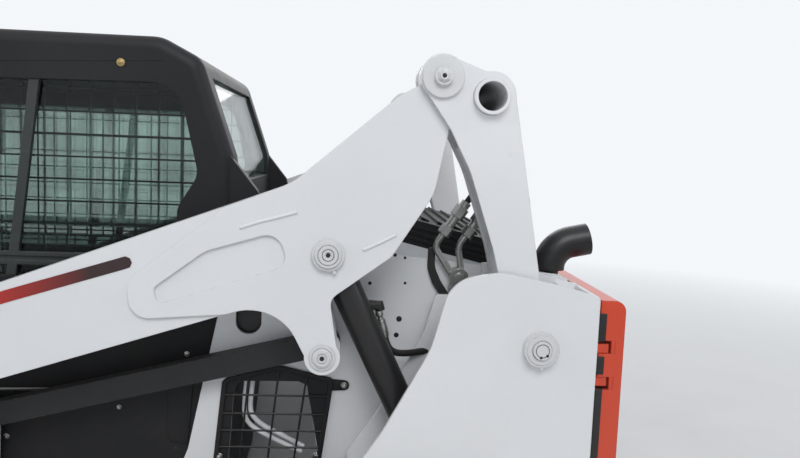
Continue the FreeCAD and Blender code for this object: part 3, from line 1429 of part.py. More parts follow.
# Front door: a glazed ring that hangs on the left post, drawn upright and leant back with the post
def make_door():
    foot = spot(S.cab_front_foot_reach, S.cab_front_foot_height)
    top = spot(S.cab_front_top_reach, cab_front_top)
    lean = FreeCAD.Rotation(FreeCAD.Vector(0, 1, 0), slope(foot, top) * -1 + 90)
    half = S.door_half_width
    low = sized(S.door_foot)
    high = cab_front_top - S.cab_front_foot_height - S.door_head_gap
    rail = S.door_rail

    def leant(thing):
        return move(thing, (foot[0], 0, foot[1]), lean)

    ring = plate("door_outer", [(-half, low, 60), (half, low, 60), (half, high, 60), (-half, high, 60)],
                 S.door_gap, S.door_thick, "YZ_Plane")
    opening = [(-half + rail, low + rail, 40), (half - rail, low + rail, 40),
               (half - rail, high - rail, 40), (-half + rail, high - rail, 40)]
    hole = plate("door_hole", opening, S.door_gap - 1, S.door_thick + 2, "YZ_Plane")
    axis_out = S.door_gap + S.door_thick / 2
    axis_side = half + S.hinge_radius + 6
    knuckles = []
    posts = []
    for place, height in (("low", low + 180), ("high", high - 240)):
        knuckles += [
            upright(f"door_knuckle_{place}", (axis_out, axis_side), S.hinge_radius, height, height + 60),
            box(f"door_knuckle_arm_{place}", (S.door_gap + 6, axis_out + 6), (half - 5, axis_side),
                (height, height + 60)),
        ]
        posts += [
            upright(f"door_pin_{place}", (axis_out, axis_side), 6, height - 24, height + 84),
            box(f"door_post_low_{place}", (sized(0), axis_out + 8), (axis_side - 10, axis_side + 12),
                (height - 26, height - 1)),
            box(f"door_post_high_{place}", (sized(0), axis_out + 8), (axis_side - 10, axis_side + 12),
                (height + 61, height + 86)),
        ]
    bores = [upright(f"door_bore_{place}", (axis_out, axis_side), 6.3, height - 1, height + 61)
             for place, height in (("low", low + 180), ("high", high - 240))]
    frame = cut("door_frame_shape", fuse("door_frame_full", [cut("door_ring", ring, [hole])] + knuckles), bores)
    node("door_frame", leant(frame))
    pane = plate("door_glass_shape", opening, S.door_gap + 10, S.glass_thick, "YZ_Plane")
    holder = group("door_glass_holder", [pane])
    node("door_glass", leant(holder))
    node("door_hinges", leant(fuse("door_hinge_posts", posts)))


def upright(name, centre, radius, low, high):
    return disc_up(name, centre, radius, low, high)


# Lap bar over the seat, pivoted on the cab walls
def make_seat_bar():
    pivot = spot(S.seat_bar_reach, S.seat_bar_height)
    front = spot(S.seat_bar_front_reach, S.seat_bar_front_height)
    side = S.seat_bar_side
    turn = FreeCAD.Rotation(FreeCAD.Vector(0, -1, 0), slope(pivot, front))
    arm = doc.addObject("Part::Cylinder", "seat_bar_arm")
    bind(arm, "Radius", 13)
    bind(arm, "Height", span(pivot, front))
    numbers = [value.number for value in (pivot[0], side, pivot[1])]
    arm.Placement = FreeCAD.Placement(FreeCAD.Vector(*numbers), turn.multiply(along_fore))
    for axis, value in zip("xyz", (pivot[0], side, pivot[1])):
        bind(arm, f"Placement.Base.{axis}", value)
    eye = disc("seat_bar_eye", pivot, 24, side - 10, side + 10)
    near = cut("seat_bar_side", fuse("seat_bar_side_full", [arm, eye]), [
        disc("seat_bar_bore", pivot, 14 + S.fit_gap, side - 20, side + 20),
    ])
    bar = disc("seat_bar_cross", front, 15, -side - 10, side + 10)
    pad = disc("seat_bar_pad", front, 32, -190, 190)
    node("seat_bar", fuse("seat_bar", [near, mirrored("seat_bar_far", near), bar, pad]))
    pin = disc("seat_bar_pin", pivot, 14, side - 14, S.cab_half_width - S.cab_wall)
    both_sides("seat_bar_pivots", pin)


def make_levers():
    floor = S.cab_floor_height + S.cab_floor_thick
    pod = plate("lever_pod", in_frame([
        (560, floor), (1180, floor), (1180, 700, 60), (1090, 930, 60), (600, 930, 40), (560, 700, 40),
    ]), 290, 110)
    stem = doc.addObject("Part::Cone", "lever_stem")
    bind(stem, "Radius1", 24)
    bind(stem, "Radius2", 11)
    bind(stem, "Height", 130)
    move(stem, (fore(S.lever_reach), 345, 925))
    grip = doc.addObject("Part::Ellipsoid", "lever_grip")
    bind(grip, "Radius1", 62)
    bind(grip, "Radius2", 26)
    bind(grip, "Radius3", 24)
    move(grip, (fore(S.lever_reach), 345, 1095))
    both_sides("control_levers", fuse("lever_near", [pod, stem, grip]))


# Lamps: a shallow case each
def make_lamps():
    top = cab_front_top
    lean = (S.cab_front_foot_reach - S.cab_front_top_reach) / (top - S.cab_front_foot_height)
    back = fore(S.cab_front_top_reach)
    lamp = plate("work_lamp_near", [
        (back + lean * 75, top - 75), (back + 48, top - 70, 10), (back + 44, top - 8, 10), (back + lean * 4, top - 4),
    ], 250, 150)
    both_sides("work_lamps", lamp)
    tail = box("tail_lamp_near", (fore(S.tail_reach), fore(S.tail_reach) + 14), (540, 640), (960, 1120))
    both_sides("tail_lamps", tail)


def make_side_screens():
    window = [(-43, 820, 20), (270, 820, 20), (252, 1070, 30), (88, 1104, 30), (-30, 1050, 30)]
    ring = plate("side_screen_outer", in_frame(window), S.wall_outer_side, 5)
    hole = plate("side_screen_hole", in_frame([
        (-24, 836, 10), (250, 836, 10), (234, 1058, 20), (86, 1088, 20), (-12, 1038, 20),
    ]), S.wall_outer_side - 1, 7)
    bars = []
    for count, reach in enumerate(range(10, 240, 46)):
        bars.append(box(f"side_screen_post_{count}", (fore(reach), fore(reach) + 5),
                        (S.wall_outer_side, S.wall_outer_side + 5), (830, 1050)))
    for count, height in enumerate(range(860, 1050, 46)):
        bars.append(box(f"side_screen_bar_{count}", (fore(-26), fore(245)),
                        (S.wall_outer_side, S.wall_outer_side + 5), (height, height + 5)))
    near = fuse("side_screen_near", [cut("side_screen_ring", ring, [hole])] + bars)
    both_sides("side_screens", near)


def make_grille():
    front = fore(S.tail_reach)
    pieces = []
    for count, height in enumerate(range(765, 1170, 45)):
        pieces.append(plate(f"grille_slat_{count}", [
            (front + 2, height), (front + 12, height + 30), (front + 12, height + 35), (front + 2, height + 5),
        ], -430, 860))
    for place, side in (("left", 410), ("middle", -10), ("right", -430)):
        pieces.append(box(f"grille_post_{place}", (front + 8, front + 13), (side, side + 20), (760, 1180)))
    node("tailgate_grille", fuse("tailgate_grille", pieces))


make_main_frame()
make_towers()
make_door()
make_seat_bar()
make_levers()
make_lamps()
make_side_screens()
make_grille()
make_chassis_pins()
make_rear_links()
make_lift_arms()
make_control_links()
lift_side = (S.arm_inner_side + S.arm_outer_side) / 2
make_cylinders(
    "lift", lift_base, lift_eye, lift_side,
    (S.lift_barrel_radius, S.lift_barrel_bore, S.lift_bore_start, S.lift_barrel_length, S.lift_gland_length),
    (S.lift_rod_radius, S.lift_rod_start, S.lift_piston),
    (S.lift_eye_radius, S.lift_eye_width, S.pin_radius),
)
make_cylinders(
    "tilt", tilt_base, tilt_eye, S.tilt_side,
    (S.tilt_barrel_radius, S.tilt_barrel_bore, S.tilt_bore_start, S.tilt_barrel_length, S.tilt_gland_length),
    (S.tilt_rod_radius, S.tilt_rod_start, S.tilt_piston),
    (S.tilt_eye_radius, S.tilt_eye_width, S.tilt_pin_radius),
)
make_bucket()
make_carrier()
make_wheels()
make_axles()
make_engine()
make_exhaust()
make_hydraulics()
make_cab()
make_tail()
make_hood()
make_seat()
doc.recompute()

# Nothing is written until every object is sound
for thing in doc.Objects:
    for word in ("Invalid", "Error"):
        if word in thing.State:
            raise RuntimeError(f"{thing.Label} is {word}")
for label, thing in nodes.items():
    if thing.Shape.isNull() or not thing.Shape.isValid() or not thing.Shape.Solids:
        raise RuntimeError(f"{label} has no sound shape")

os.makedirs("parts", exist_ok=True)
for label, thing in nodes.items():
    thing.Shape.exportStep(f"parts/{label}.step")
print(len(nodes), "nodes written")
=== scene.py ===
import bmesh
import bpy
import math
from mathutils import Matrix, Vector


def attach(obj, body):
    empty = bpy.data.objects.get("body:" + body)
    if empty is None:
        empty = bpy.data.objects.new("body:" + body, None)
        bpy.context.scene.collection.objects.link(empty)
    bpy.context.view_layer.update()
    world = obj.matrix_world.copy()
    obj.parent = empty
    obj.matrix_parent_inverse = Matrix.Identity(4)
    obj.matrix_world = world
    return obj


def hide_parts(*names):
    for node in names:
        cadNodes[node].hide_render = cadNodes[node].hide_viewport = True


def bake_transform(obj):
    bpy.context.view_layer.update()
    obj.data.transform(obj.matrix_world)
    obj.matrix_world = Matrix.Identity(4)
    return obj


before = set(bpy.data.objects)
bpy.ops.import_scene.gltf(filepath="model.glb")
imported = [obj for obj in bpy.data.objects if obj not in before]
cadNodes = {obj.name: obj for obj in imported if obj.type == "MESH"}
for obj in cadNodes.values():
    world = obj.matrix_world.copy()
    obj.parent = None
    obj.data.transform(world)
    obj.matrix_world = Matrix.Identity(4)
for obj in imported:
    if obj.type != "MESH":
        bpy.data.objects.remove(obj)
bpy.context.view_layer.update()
rearAxle = -957      # millimetres from the middle of the machine to its rear axle


def at(reach, side, height):      # reach is forward of the rear axle, all in millimetres
    return Vector((reach + rearAxle, side, height)) / 1000


def places(rows, sign=1):      # rows of reach, side and height, mirrored where the sign is -1
    return [at(reach, sign * side, height) for reach, side, height in rows]


def placesAt(rows, side):      # rows of reach and height, all at one side
    return [at(reach, side, height) for reach, height in rows]


def newNode(name, data):
    node = bpy.data.objects.new(name, data)
    bpy.context.scene.collection.objects.link(node)
    return node


# Camera, floor and light
cameraLook = {"lens": 34.2, "place": (-70, 2620, 1718), "yaw": 4.0, "pitch": 5.9, "roll": 2.3}


def makeCamera():
    data = bpy.data.cameras.new("photoCamera")
    data.lens = cameraLook["lens"]
    camera = newNode("photoCamera", data)
    yaw, pitch, roll = (math.radians(cameraLook[key]) for key in ("yaw", "pitch", "roll"))
    turn = Matrix.Rotation(math.pi - yaw, 4, "Z") @ Matrix.Rotation(math.pi / 2 - pitch, 4, "X")
    camera.matrix_world = Matrix.Translation(at(*cameraLook["place"])) @ turn @ Matrix.Rotation(roll, 4, "Z")
    bpy.context.scene.camera = camera


lampLook = {
    "key": {"place": (-1.5, 5.5, 6.0), "size": 4.0, "power": 215},
    "front": {"place": (5.5, 3.0, 4.5), "size": 4.0, "power": 95},
    "far": {"place": (-1.0, -6.0, 5.0), "size": 5.0, "power": 110},
    "tail": {"place": (-6.5, 1.0, 4.0), "size": 4.0, "power": 85},
}
lampAim = Vector((-0.2, 0, 0.9))
skyLook = {"shown": (0.9, 0.93, 0.96), "lit": (0.88, 0.92, 1.0), "strength": 0.46}


def makeStage():
    for name, look in lampLook.items():
        data = bpy.data.lights.new(name, "AREA")
        data.shape = "DISK"
        data.size = look["size"]
        data.energy = look["power"]
        lamp = newNode(name, data)
        place = Vector(look["place"])
        turn = (lampAim - place).to_track_quat("-Z", "Y").to_matrix().to_4x4()
        lamp.matrix_world = Matrix.Translation(place) @ turn
    world = bpy.data.worlds.new("studio")
    bpy.context.scene.world = world
    world.use_nodes = True
    tree = world.node_tree
    back = tree.nodes["Background"]
    feed(tree, back, {"Color": skyLook["lit"], "Strength": skyLook["strength"]})
    shown = addNode(tree, "ShaderNodeBackground", {"Color": skyLook["shown"], "Strength": 1.0})
    path = addNode(tree, "ShaderNodeLightPath").outputs
    sight = addMath(tree, "MAXIMUM", path["Is Camera Ray"], path["Is Glossy Ray"])
    sight = addMath(tree, "MAXIMUM", sight, path["Is Transmission Ray"])
    choose = addNode(tree, "ShaderNodeMixShader", {0: sight, 1: back.outputs[0], 2: shown.outputs[0]})
    feed(tree, tree.nodes["World Output"], {"Surface": choose.outputs[0]})
    bm = bmesh.new()
    bmesh.ops.create_grid(bm, x_segments=2, y_segments=2, size=60)
    newObject(bm, "floor", floorPaint())


# Shared node work: an input takes a socket, a number or a colour
def feed(tree, node, inputs):
    for key, value in inputs.items():
        socket = node.inputs[key]
        if isinstance(value, bpy.types.NodeSocket):
            tree.links.new(value, socket)
        elif socket.type == "RGBA":
            socket.default_value = (*value, 1)
        else:
            socket.default_value = value


def addNode(tree, kind, inputs=None, **settings):
    node = tree.nodes.new(kind)
    for key, value in settings.items():
        setattr(node, key, value)
    feed(tree, node, inputs or {})
    return node


def addMath(tree, operation, *values, clamp=False):
    node = addNode(tree, "ShaderNodeMath", dict(enumerate(values)), operation=operation, use_clamp=clamp)
    return node.outputs[0]


def objectPlace(tree):
    return addNode(tree, "ShaderNodeTexCoord").outputs["Object"]


def alongAxis(tree, vector, axis):
    return addNode(tree, "ShaderNodeSeparateXYZ", {0: vector}).outputs[axis]


def addNoise(tree, scale, detail=3.0, roughness=0.5, squeeze=None, turn=(0, 0, 0)):
    place = objectPlace(tree)
    if squeeze:      # stretches the pattern along an axis
        place = addNode(tree, "ShaderNodeMapping", {"Vector": place, "Rotation": turn, "Scale": squeeze}).outputs[0]
    return addNode(tree, "ShaderNodeTexNoise", {"Vector": place, "Scale": scale, "Detail": detail,
                                                "Roughness": roughness}).outputs["Fac"]


def addRange(tree, value, low, high, outLow=0.0, outHigh=1.0):
    return addNode(tree, "ShaderNodeMapRange", {"Value": value, "From Min": low, "From Max": high, "To Min": outLow,
                                                "To Max": outHigh}).outputs[0]


def mixColours(tree, factor, first, second):
    return addNode(tree, "ShaderNodeMix", {0: factor, 6: first, 7: second}, data_type="RGBA").outputs[2]


def newGroup(name, inputs, outputs):
    tree = bpy.data.node_groups.new(name, "ShaderNodeTree")
    for label, value in inputs.items():
        tree.interface.new_socket(label, in_out="INPUT", socket_type="NodeSocketFloat").default_value = value
    for label, kind in outputs.items():
        tree.interface.new_socket(label, in_out="OUTPUT", socket_type="NodeSocket" + kind)
    return tree, addNode(tree, "NodeGroupInput").outputs, addNode(tree, "NodeGroupOutput")


def useGroup(tree, group, inputs):
    return addNode(tree, "ShaderNodeGroup", inputs, node_tree=group).outputs


# Rubbed edges: the rounded normal leaves the flat one only near an edge
def buildEdgeWear():
    tree, given, made = newGroup("edgeWear", {"Radius": 0.004, "Chips": 70.0},
                                 {"Mask": "Float", "Normal": "Vector"})
    rounded = addNode(tree, "ShaderNodeBevel", {"Radius": given["Radius"]}, samples=4).outputs[0]
    flat = addNode(tree, "ShaderNodeNewGeometry").outputs["Normal"]
    dot = addNode(tree, "ShaderNodeVectorMath", {0: rounded, 1: flat}, operation="DOT_PRODUCT").outputs["Value"]
    away = addRange(tree, addMath(tree, "SUBTRACT", 1.0, dot), 0.03, 0.2)
    chips = addRange(tree, addNoise(tree, given["Chips"], 4.0, 0.65), 0.5, 0.62)
    feed(tree, made, {"Mask": addMath(tree, "MULTIPLY", away, chips, clamp=True), "Normal": rounded})
    return tree


# Dust: more of it low down, on faces that look up, and in patches
def buildDust():
    tree, given, made = newGroup("dust", {"Scale": 5.0, "Low": 0.1, "High": 1.4, "Amount": 0.5},
                                 {"Mask": "Float"})
    height = addRange(tree, alongAxis(tree, objectPlace(tree), "Z"), given["Low"], given["High"], 1.0, 0.12)
    normal = addNode(tree, "ShaderNodeNewGeometry").outputs["Normal"]
    level = addRange(tree, alongAxis(tree, normal, "Z"), 0.1, 0.95, 0.0, 0.45)
    patch = addRange(tree, addNoise(tree, given["Scale"], 6.0, 0.62), 0.36, 0.68, 0.15, 1.0)
    total = addMath(tree, "MULTIPLY", addMath(tree, "ADD", height, level), patch)
    feed(tree, made, {"Mask": addMath(tree, "MULTIPLY", total, given["Amount"], clamp=True)})
    return tree


# Fine grain for paint, plastic and rubber
def buildGrain():
    tree, given, made = newGroup("grain", {"Scale": 300.0, "Coarse": 0.2}, {"Height": "Float"})
    fine, wide = addNoise(tree, given["Scale"], 2.0), addNoise(tree, 14.0)
    feed(tree, made, {"Height": addMath(tree, "MULTIPLY_ADD", wide, given["Coarse"], fine)})
    return tree


# Long fine scratches in two directions
def buildScratches():
    tree, given, made = newGroup("scratches", {"Scale": 20.0, "Cover": 0.5}, {"Mask": "Float"})
    found = [addRange(tree, addNoise(tree, given["Scale"], 5.0, 0.7, squeeze, (0, turn, turn * 0.4)), 0.6, 0.68)
             for turn, squeeze in ((0.35, (1.0, 1.0, 18.0)), (-0.9, (18.0, 1.0, 1.0)))]
    both = addMath(tree, "MAXIMUM", *found)
    feed(tree, made, {"Mask": addMath(tree, "MULTIPLY", both, given["Cover"], clamp=True)})
    return tree


edgeWear, dust, grain, scratches = buildEdgeWear(), buildDust(), buildGrain(), buildScratches()
dustColour = (0.42, 0.38, 0.33)
print("shared shader groups built")


def newMaterial(name):
    material = bpy.data.materials.new(name)
    material.use_nodes = True
    return material, material.node_tree, material.node_tree.nodes["Principled BSDF"]


# One recipe for every coated or moulded finish, from that finish's own numbers
def makeFinish(name, look):
    material, tree, shader = newMaterial(name)
    drift = addRange(tree, addNoise(tree, look["driftScale"], 5.0, 0.55), 0.3, 0.7)
    colour = mixColours(tree, drift, look["colour"], look["shade"])
    scored = useGroup(tree, scratches, {"Scale": look["scratchScale"], "Cover": look["scratch"]})["Mask"]
    colour = mixColours(tree, scored, colour, look["bare"])
    rubbed = useGroup(tree, edgeWear, {"Radius": 0.004, "Chips": 60.0})
    colour = mixColours(tree, addMath(tree, "MULTIPLY", rubbed["Mask"], look["wear"]), colour, look["bare"])
    dusty = useGroup(tree, dust, {"Scale": 4.0, "Low": 0.05, "High": look["dustHigh"],
                                  "Amount": look["dust"]})["Mask"]
    cloud = addMath(tree, "MULTIPLY_ADD", addNoise(tree, 9.0, 4.0, 0.6), 0.6, dusty)
    height = useGroup(tree, grain, {"Scale": look["grainScale"], "Coarse": 0.3})["Height"]
    bump = addNode(tree, "ShaderNodeBump", {"Strength": look["bump"], "Distance": look["depth"], "Height": height,
                                            "Normal": rubbed["Normal"]})
    feed(tree, shader, {
        "Base Color": mixColours(tree, dusty, colour, dustColour),
        "Roughness": addRange(tree, cloud, 0.15, 1.0, *look["roughness"]),
        "Metallic": look["metal"], "Specular IOR Level": look["shine"],
        "Coat Weight": look["coat"], "Coat Roughness": 0.12,
        "Normal": bump.outputs[0],
    })
    return material


# Each row: these numbers in this order, then what differs from the common ones
finishColumns = ("colour", "shade", "bare", "scratch", "wear", "dust", "roughness", "grainScale", "bump")
finishCommon = {"driftScale": 2.2, "scratchScale": 16.0, "dustHigh": 1.5, "metal": 0.0, "shine": 0.5, "coat": 0.0,
                "depth": 0.0006}
finishes = {
    "whitePaint": ((0.77, 0.78, 0.79), (0.72, 0.735, 0.75), (0.33, 0.3, 0.27), 0.06, 0.35, 0.16, (0.26, 0.55),
        260, 0.06, {"coat": 0.35}),
    "pinPaint": ((0.72, 0.73, 0.735), (0.62, 0.63, 0.64), (0.25, 0.23, 0.21), 0.12, 0.7, 0.22, (0.3, 0.6), 220,
        0.1, {"coat": 0.2}),
    "charcoalPaint": ((0.01, 0.0105, 0.012), (0.018, 0.018, 0.02), (0.1, 0.1, 0.1), 0.05, 0.25, 0.05,
        (0.46, 0.7), 340, 0.14, {"shine": 0.22}),
    "linkPaint": ((0.017, 0.0175, 0.019), (0.027, 0.0275, 0.029), (0.16, 0.15, 0.15), 0.05, 0.5, 0.06,
        (0.48, 0.72), 240, 0.16, {"shine": 0.25}),
    "cylinderPaint": ((0.007, 0.007, 0.008), (0.014, 0.014, 0.015), (0.12, 0.12, 0.12), 0.06, 0.3, 0.05,
        (0.34, 0.58), 300, 0.08, {"shine": 0.35, "coat": 0.1}),
    "orangePaint": ((0.68, 0.062, 0.016), (0.61, 0.05, 0.013), (0.3, 0.2, 0.15), 0.05, 0.35, 0.05, (0.26, 0.5),
        260, 0.06, {"coat": 0.3}),
    "bucketPaint": ((0.03, 0.03, 0.032), (0.05, 0.048, 0.046), (0.3, 0.27, 0.24), 0.75, 0.9, 0.55, (0.36, 0.75),
        180, 0.25, {"scratchScale": 9.0, "dustHigh": 0.9}),
    "edgeSteel": ((0.36, 0.34, 0.32), (0.22, 0.19, 0.17), (0.62, 0.6, 0.57), 0.9, 0.9, 0.45, (0.28, 0.6), 160,
        0.3, {"scratchScale": 7.0, "metal": 0.85, "dustHigh": 0.5}),
    "engineIron": ((0.06, 0.062, 0.066), (0.095, 0.095, 0.095), (0.24, 0.21, 0.18), 0.3, 0.7, 0.5, (0.5, 0.85),
        120, 0.55, {"metal": 0.3, "depth": 0.002}),
    "blackPlastic": ((0.016, 0.016, 0.017), (0.024, 0.024, 0.026), (0.08, 0.08, 0.08), 0.08, 0.2, 0.08,
        (0.46, 0.72), 620, 0.35, {"shine": 0.3}),
    "rubber": ((0.016, 0.016, 0.017), (0.028, 0.027, 0.026), (0.07, 0.065, 0.06), 0.3, 0.7, 0.75, (0.55, 0.9),
        200, 0.5, {"driftScale": 6.0, "depth": 0.0012, "dustHigh": 0.9}),
    "hoseRubber": ((0.012, 0.012, 0.013), (0.02, 0.02, 0.021), (0.06, 0.06, 0.06), 0.08, 0.2, 0.1, (0.46, 0.72),
        900, 0.4, {"shine": 0.3}),
    "rimPaint": ((0.74, 0.75, 0.76), (0.64, 0.65, 0.66), (0.3, 0.27, 0.24), 0.2, 0.6, 0.5, (0.3, 0.65), 240, 0.1,
        {"coat": 0.2, "dustHigh": 0.9}),
    "zincSteel": ((0.44, 0.44, 0.42), (0.26, 0.26, 0.25), (0.66, 0.65, 0.62), 0.3, 0.6, 0.1, (0.24, 0.46), 300,
        0.15, {"metal": 0.9}),
    "brassPaint": ((0.45, 0.33, 0.14), (0.34, 0.24, 0.1), (0.6, 0.5, 0.3), 0.3, 0.5, 0.2, (0.3, 0.5), 300, 0.1,
        {"metal": 0.85}),
    "chromeRod": ((0.66, 0.66, 0.67), (0.58, 0.58, 0.6), (0.75, 0.75, 0.75), 0.25, 0.2, 0.06, (0.06, 0.22), 500,
        0.03, {"scratchScale": 40, "metal": 1.0}),
    "seatVinyl": ((0.02, 0.02, 0.022), (0.032, 0.031, 0.031), (0.09, 0.085, 0.08), 0.1, 0.25, 0.25, (0.4, 0.66),
        380, 0.5, {"driftScale": 7.0, "depth": 0.001}),
    "slideGrey": ((0.026, 0.036, 0.033), (0.018, 0.024, 0.022), (0.2, 0.2, 0.2), 0.1, 0.3, 0.08, (0.4, 0.65),
        320, 0.1, {}),
}
materials = {name: makeFinish(name, {**finishCommon, **dict(zip(finishColumns, row)), **row[-1]})
             for name, row in finishes.items()}


glassLook = {"tint": (0.12, 0.24, 0.19), "dusty": (0.11, 0.16, 0.14), "clear": 0.46, "cloudy": 0.6}


def makeGlass(name, look):
    material, tree, shader = newMaterial(name)
    film = addRange(tree, addNoise(tree, 6.0, 5.0, 0.6), 0.42, 0.75)
    runs = addRange(tree, addNoise(tree, 9.0, 4.0, 0.6, (3.0, 3.0, 0.35)), 0.5, 0.8)
    soiled = addMath(tree, "MULTIPLY_ADD", runs, 0.5, film, clamp=True)
    feed(tree, shader, {"Base Color": mixColours(tree, soiled, look["tint"], look["dusty"]),
                        "Roughness": addRange(tree, soiled, 0.0, 1.0, 0.015, 0.14),
                        "Alpha": addRange(tree, soiled, 0.0, 1.0, look["clear"], look["cloudy"]),
                        "Transmission Weight": 1.0, "IOR": 1.45})
    return material


lensLook = {
    "clearLens": {"tint": (0.85, 0.87, 0.88), "deep": (0.5, 0.52, 0.54), "ribs": 140.0},
    "redLens": {"tint": (0.55, 0.02, 0.015), "deep": (0.22, 0.008, 0.006), "ribs": 170.0},
    "amberLens": {"tint": (0.72, 0.24, 0.02), "deep": (0.35, 0.1, 0.01), "ribs": 170.0},
}


def makeLens(name, look):
    material, tree, shader = newMaterial(name)
    ribs = addNode(tree, "ShaderNodeTexWave", {"Vector": objectPlace(tree), "Scale": look["ribs"] / 6.283},
                   bands_direction="Y").outputs["Fac"]
    bump = addNode(tree, "ShaderNodeBump", {"Strength": 0.5, "Distance": 0.002, "Height": ribs})
    feed(tree, shader, {"Base Color": mixColours(tree, ribs, look["tint"], look["deep"]),
                        "Normal": bump.outputs[0],
                        "Roughness": addRange(tree, addNoise(tree, 30.0), 0.3, 0.7, 0.06, 0.2), "Coat Weight": 0.6})
    return material


materials["glass"] = makeGlass("glass", glassLook)
for lensName, lensValues in lensLook.items():
    materials[lensName] = makeLens(lensName, lensValues)


stripeLook = {"red": (0.4, 0.018, 0.012), "dark": (0.012, 0.01, 0.011), "from": 560, "to": 790}


def makeStripePaint(look):      # the band turns from near black at its rear end to red
    material, tree, shader = newMaterial("stripePaint")
    reach = alongAxis(tree, objectPlace(tree), "X")
    fade = addRange(tree, reach, at(look["from"], 0, 0).x, at(look["to"], 0, 0).x)
    fade = addMath(tree, "MULTIPLY_ADD", addNoise(tree, 30.0), 0.08, fade, clamp=True)
    colour = mixColours(tree, fade, look["dark"], look["red"])
    dusty = useGroup(tree, dust, {"Amount": 0.04})["Mask"]
    feed(tree, shader, {"Base Color": mixColours(tree, dusty, colour, dustColour), "Coat Weight": 0.3,
                        "Roughness": addRange(tree, addNoise(tree, 12.0), 0.3, 0.7, 0.26, 0.42)})
    return material


materials["stripePaint"] = makeStripePaint(stripeLook)


floorLook = {"pale": (0.74, 0.74, 0.73), "deep": (0.7, 0.7, 0.69), "fadeFrom": 3.5, "fadeTo": 11.0}


def floorPaint():
    material, tree, shader = newMaterial("floorPaint")
    cloud = addRange(tree, addNoise(tree, 1.6, 5.0, 0.6), 0.3, 0.7)
    colour = mixColours(tree, cloud, floorLook["pale"], floorLook["deep"])
    feed(tree, shader, {"Base Color": colour, "Roughness": 0.9})
    length = addNode(tree, "ShaderNodeVectorMath", {0: objectPlace(tree)}, operation="LENGTH").outputs["Value"]
    away = addRange(tree, length, floorLook["fadeFrom"], floorLook["fadeTo"])
    glow = addNode(tree, "ShaderNodeEmission", {"Color": skyLook["shown"], "Strength": 1.0})
    path = addNode(tree, "ShaderNodeLightPath").outputs
    sight = addMath(tree, "MAXIMUM", path["Is Camera Ray"], path["Is Transmission Ray"])
    blend = addNode(tree, "ShaderNodeMixShader", {0: addMath(tree, "MULTIPLY", away, sight), 1: shader.outputs[0],
                                                  2: glow.outputs[0]})
    feed(tree, tree.nodes["Material Output"], {"Surface": blend.outputs[0]})
    return material


print("materials made:", len(materials))


# Shared mesh work
def showMesh(name, mesh, material):
    mesh.materials.clear()
    mesh.materials.append(material)
    mesh.polygons.foreach_set("use_smooth", [True] * len(mesh.polygons))
    return newNode(name, mesh)


def newObject(bm, name, material, smoothBelow=35):
    mesh = bpy.data.meshes.new(name)
    bm.to_mesh(mesh)
    bm.free()
    piece = showMesh(name, mesh, material)
    mesh.set_sharp_from_angle(angle=math.radians(smoothBelow))
    return piece


def addPiece(bm, name, material, body, smoothBelow=35):
    bmesh.ops.recalc_face_normals(bm, faces=bm.faces)
    piece = newObject(bm, name, materials[material], smoothBelow)
    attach(piece, body)
    return piece


def around(turn):      # a direction in the plane of the machine's side
    return Vector((math.cos(turn), 0, math.sin(turn)))


def facing(axis):
    return Vector(axis).to_track_quat("Z", "Y").to_matrix().to_4x4()


def bevelEdges(bm, edges, offset, segments=2):
    bmesh.ops.bevel(bm, geom=list(edges), offset=offset, offset_type="OFFSET", affect="EDGES", segments=segments,
                    profile=0.5, material=-1)


def raiseFaces(bm, faces, step):      # gives back the corners that moved
    raised = bmesh.ops.extrude_face_region(bm, geom=faces)["geom"]
    moved = [part for part in raised if isinstance(part, bmesh.types.BMVert)]
    bmesh.ops.translate(bm, vec=step, verts=moved)
    return moved


def edgesAmong(verts):
    return {edge for vert in verts for edge in vert.link_edges if edge.other_vert(vert) in verts}


def addRound(bm, centre, axis, radius, depth, segments=28, bevel=0.0012, top=None):
    made = bmesh.ops.create_cone(
        bm, cap_ends=True, segments=segments, radius1=radius, radius2=radius if top is None else top,
        depth=depth, matrix=Matrix.Translation(centre) @ facing(axis))["verts"]
    if bevel:
        bevelEdges(bm, {edge for vert in made for edge in vert.link_edges if len(edge.link_faces) == 2
                        and any(len(face.verts) > 4 or segments <= 6 for face in edge.link_faces)}, bevel)


def addRod(bm, ends, radius, segments=10):
    addRound(bm, (ends[0] + ends[1]) / 2, ends[1] - ends[0], radius, (ends[1] - ends[0]).length, segments, 0)


def addLathe(bm, centre, axis, profile, segments=36, closed=False):      # rows of the profile: radius, along
    before = set(bm.verts)
    verts = [bm.verts.new((radius, 0, along)) for radius, along in profile]
    pairs = list(zip(verts, verts[1:])) + ([(verts[-1], verts[0])] if closed else [])
    edges = [bm.edges.new(pair) for pair in pairs]
    bmesh.ops.spin(bm, geom=verts + edges, cent=(0, 0, 0), axis=(0, 0, 1), angle=2 * math.pi, steps=segments,
                   use_merge=True, use_duplicate=False)
    made = [vert for vert in bm.verts if vert not in before]
    bmesh.ops.remove_doubles(bm, verts=made, dist=0.00001)
    made = [vert for vert in bm.verts if vert not in before]
    bmesh.ops.transform(bm, matrix=Matrix.Translation(centre) @ facing(axis), verts=made)


def addRing(bm, centre, axis, outer, inner, depth, segments=32):      # a flat washer, its hole left open
    half, soft = depth / 2, min(depth, outer - inner) * 0.18
    addLathe(bm, centre, axis, [(inner, -half), (outer, -half), (outer, half - soft), (outer - soft, half),
                                (inner + soft, half), (inner, half - soft)], segments, closed=True)


def addHoleShade(bm, centre, axis, radius, depth=0.0006):      # a drilled hole, its shaded inside painted as a thin dark disc
    addRound(bm, centre + Vector(axis) * depth / 2, axis, radius, depth, 20, 0)


def addBolt(bm, centre, axis, across):      # a hexagon head on its washer
    axis = Vector(axis)
    addRound(bm, centre + axis * across * 0.07, axis, across * 0.82, across * 0.14, 20, across * 0.02)
    addRound(bm, centre + axis * across * 0.4, axis, across * 0.577, across * 0.52, 6, across * 0.05)


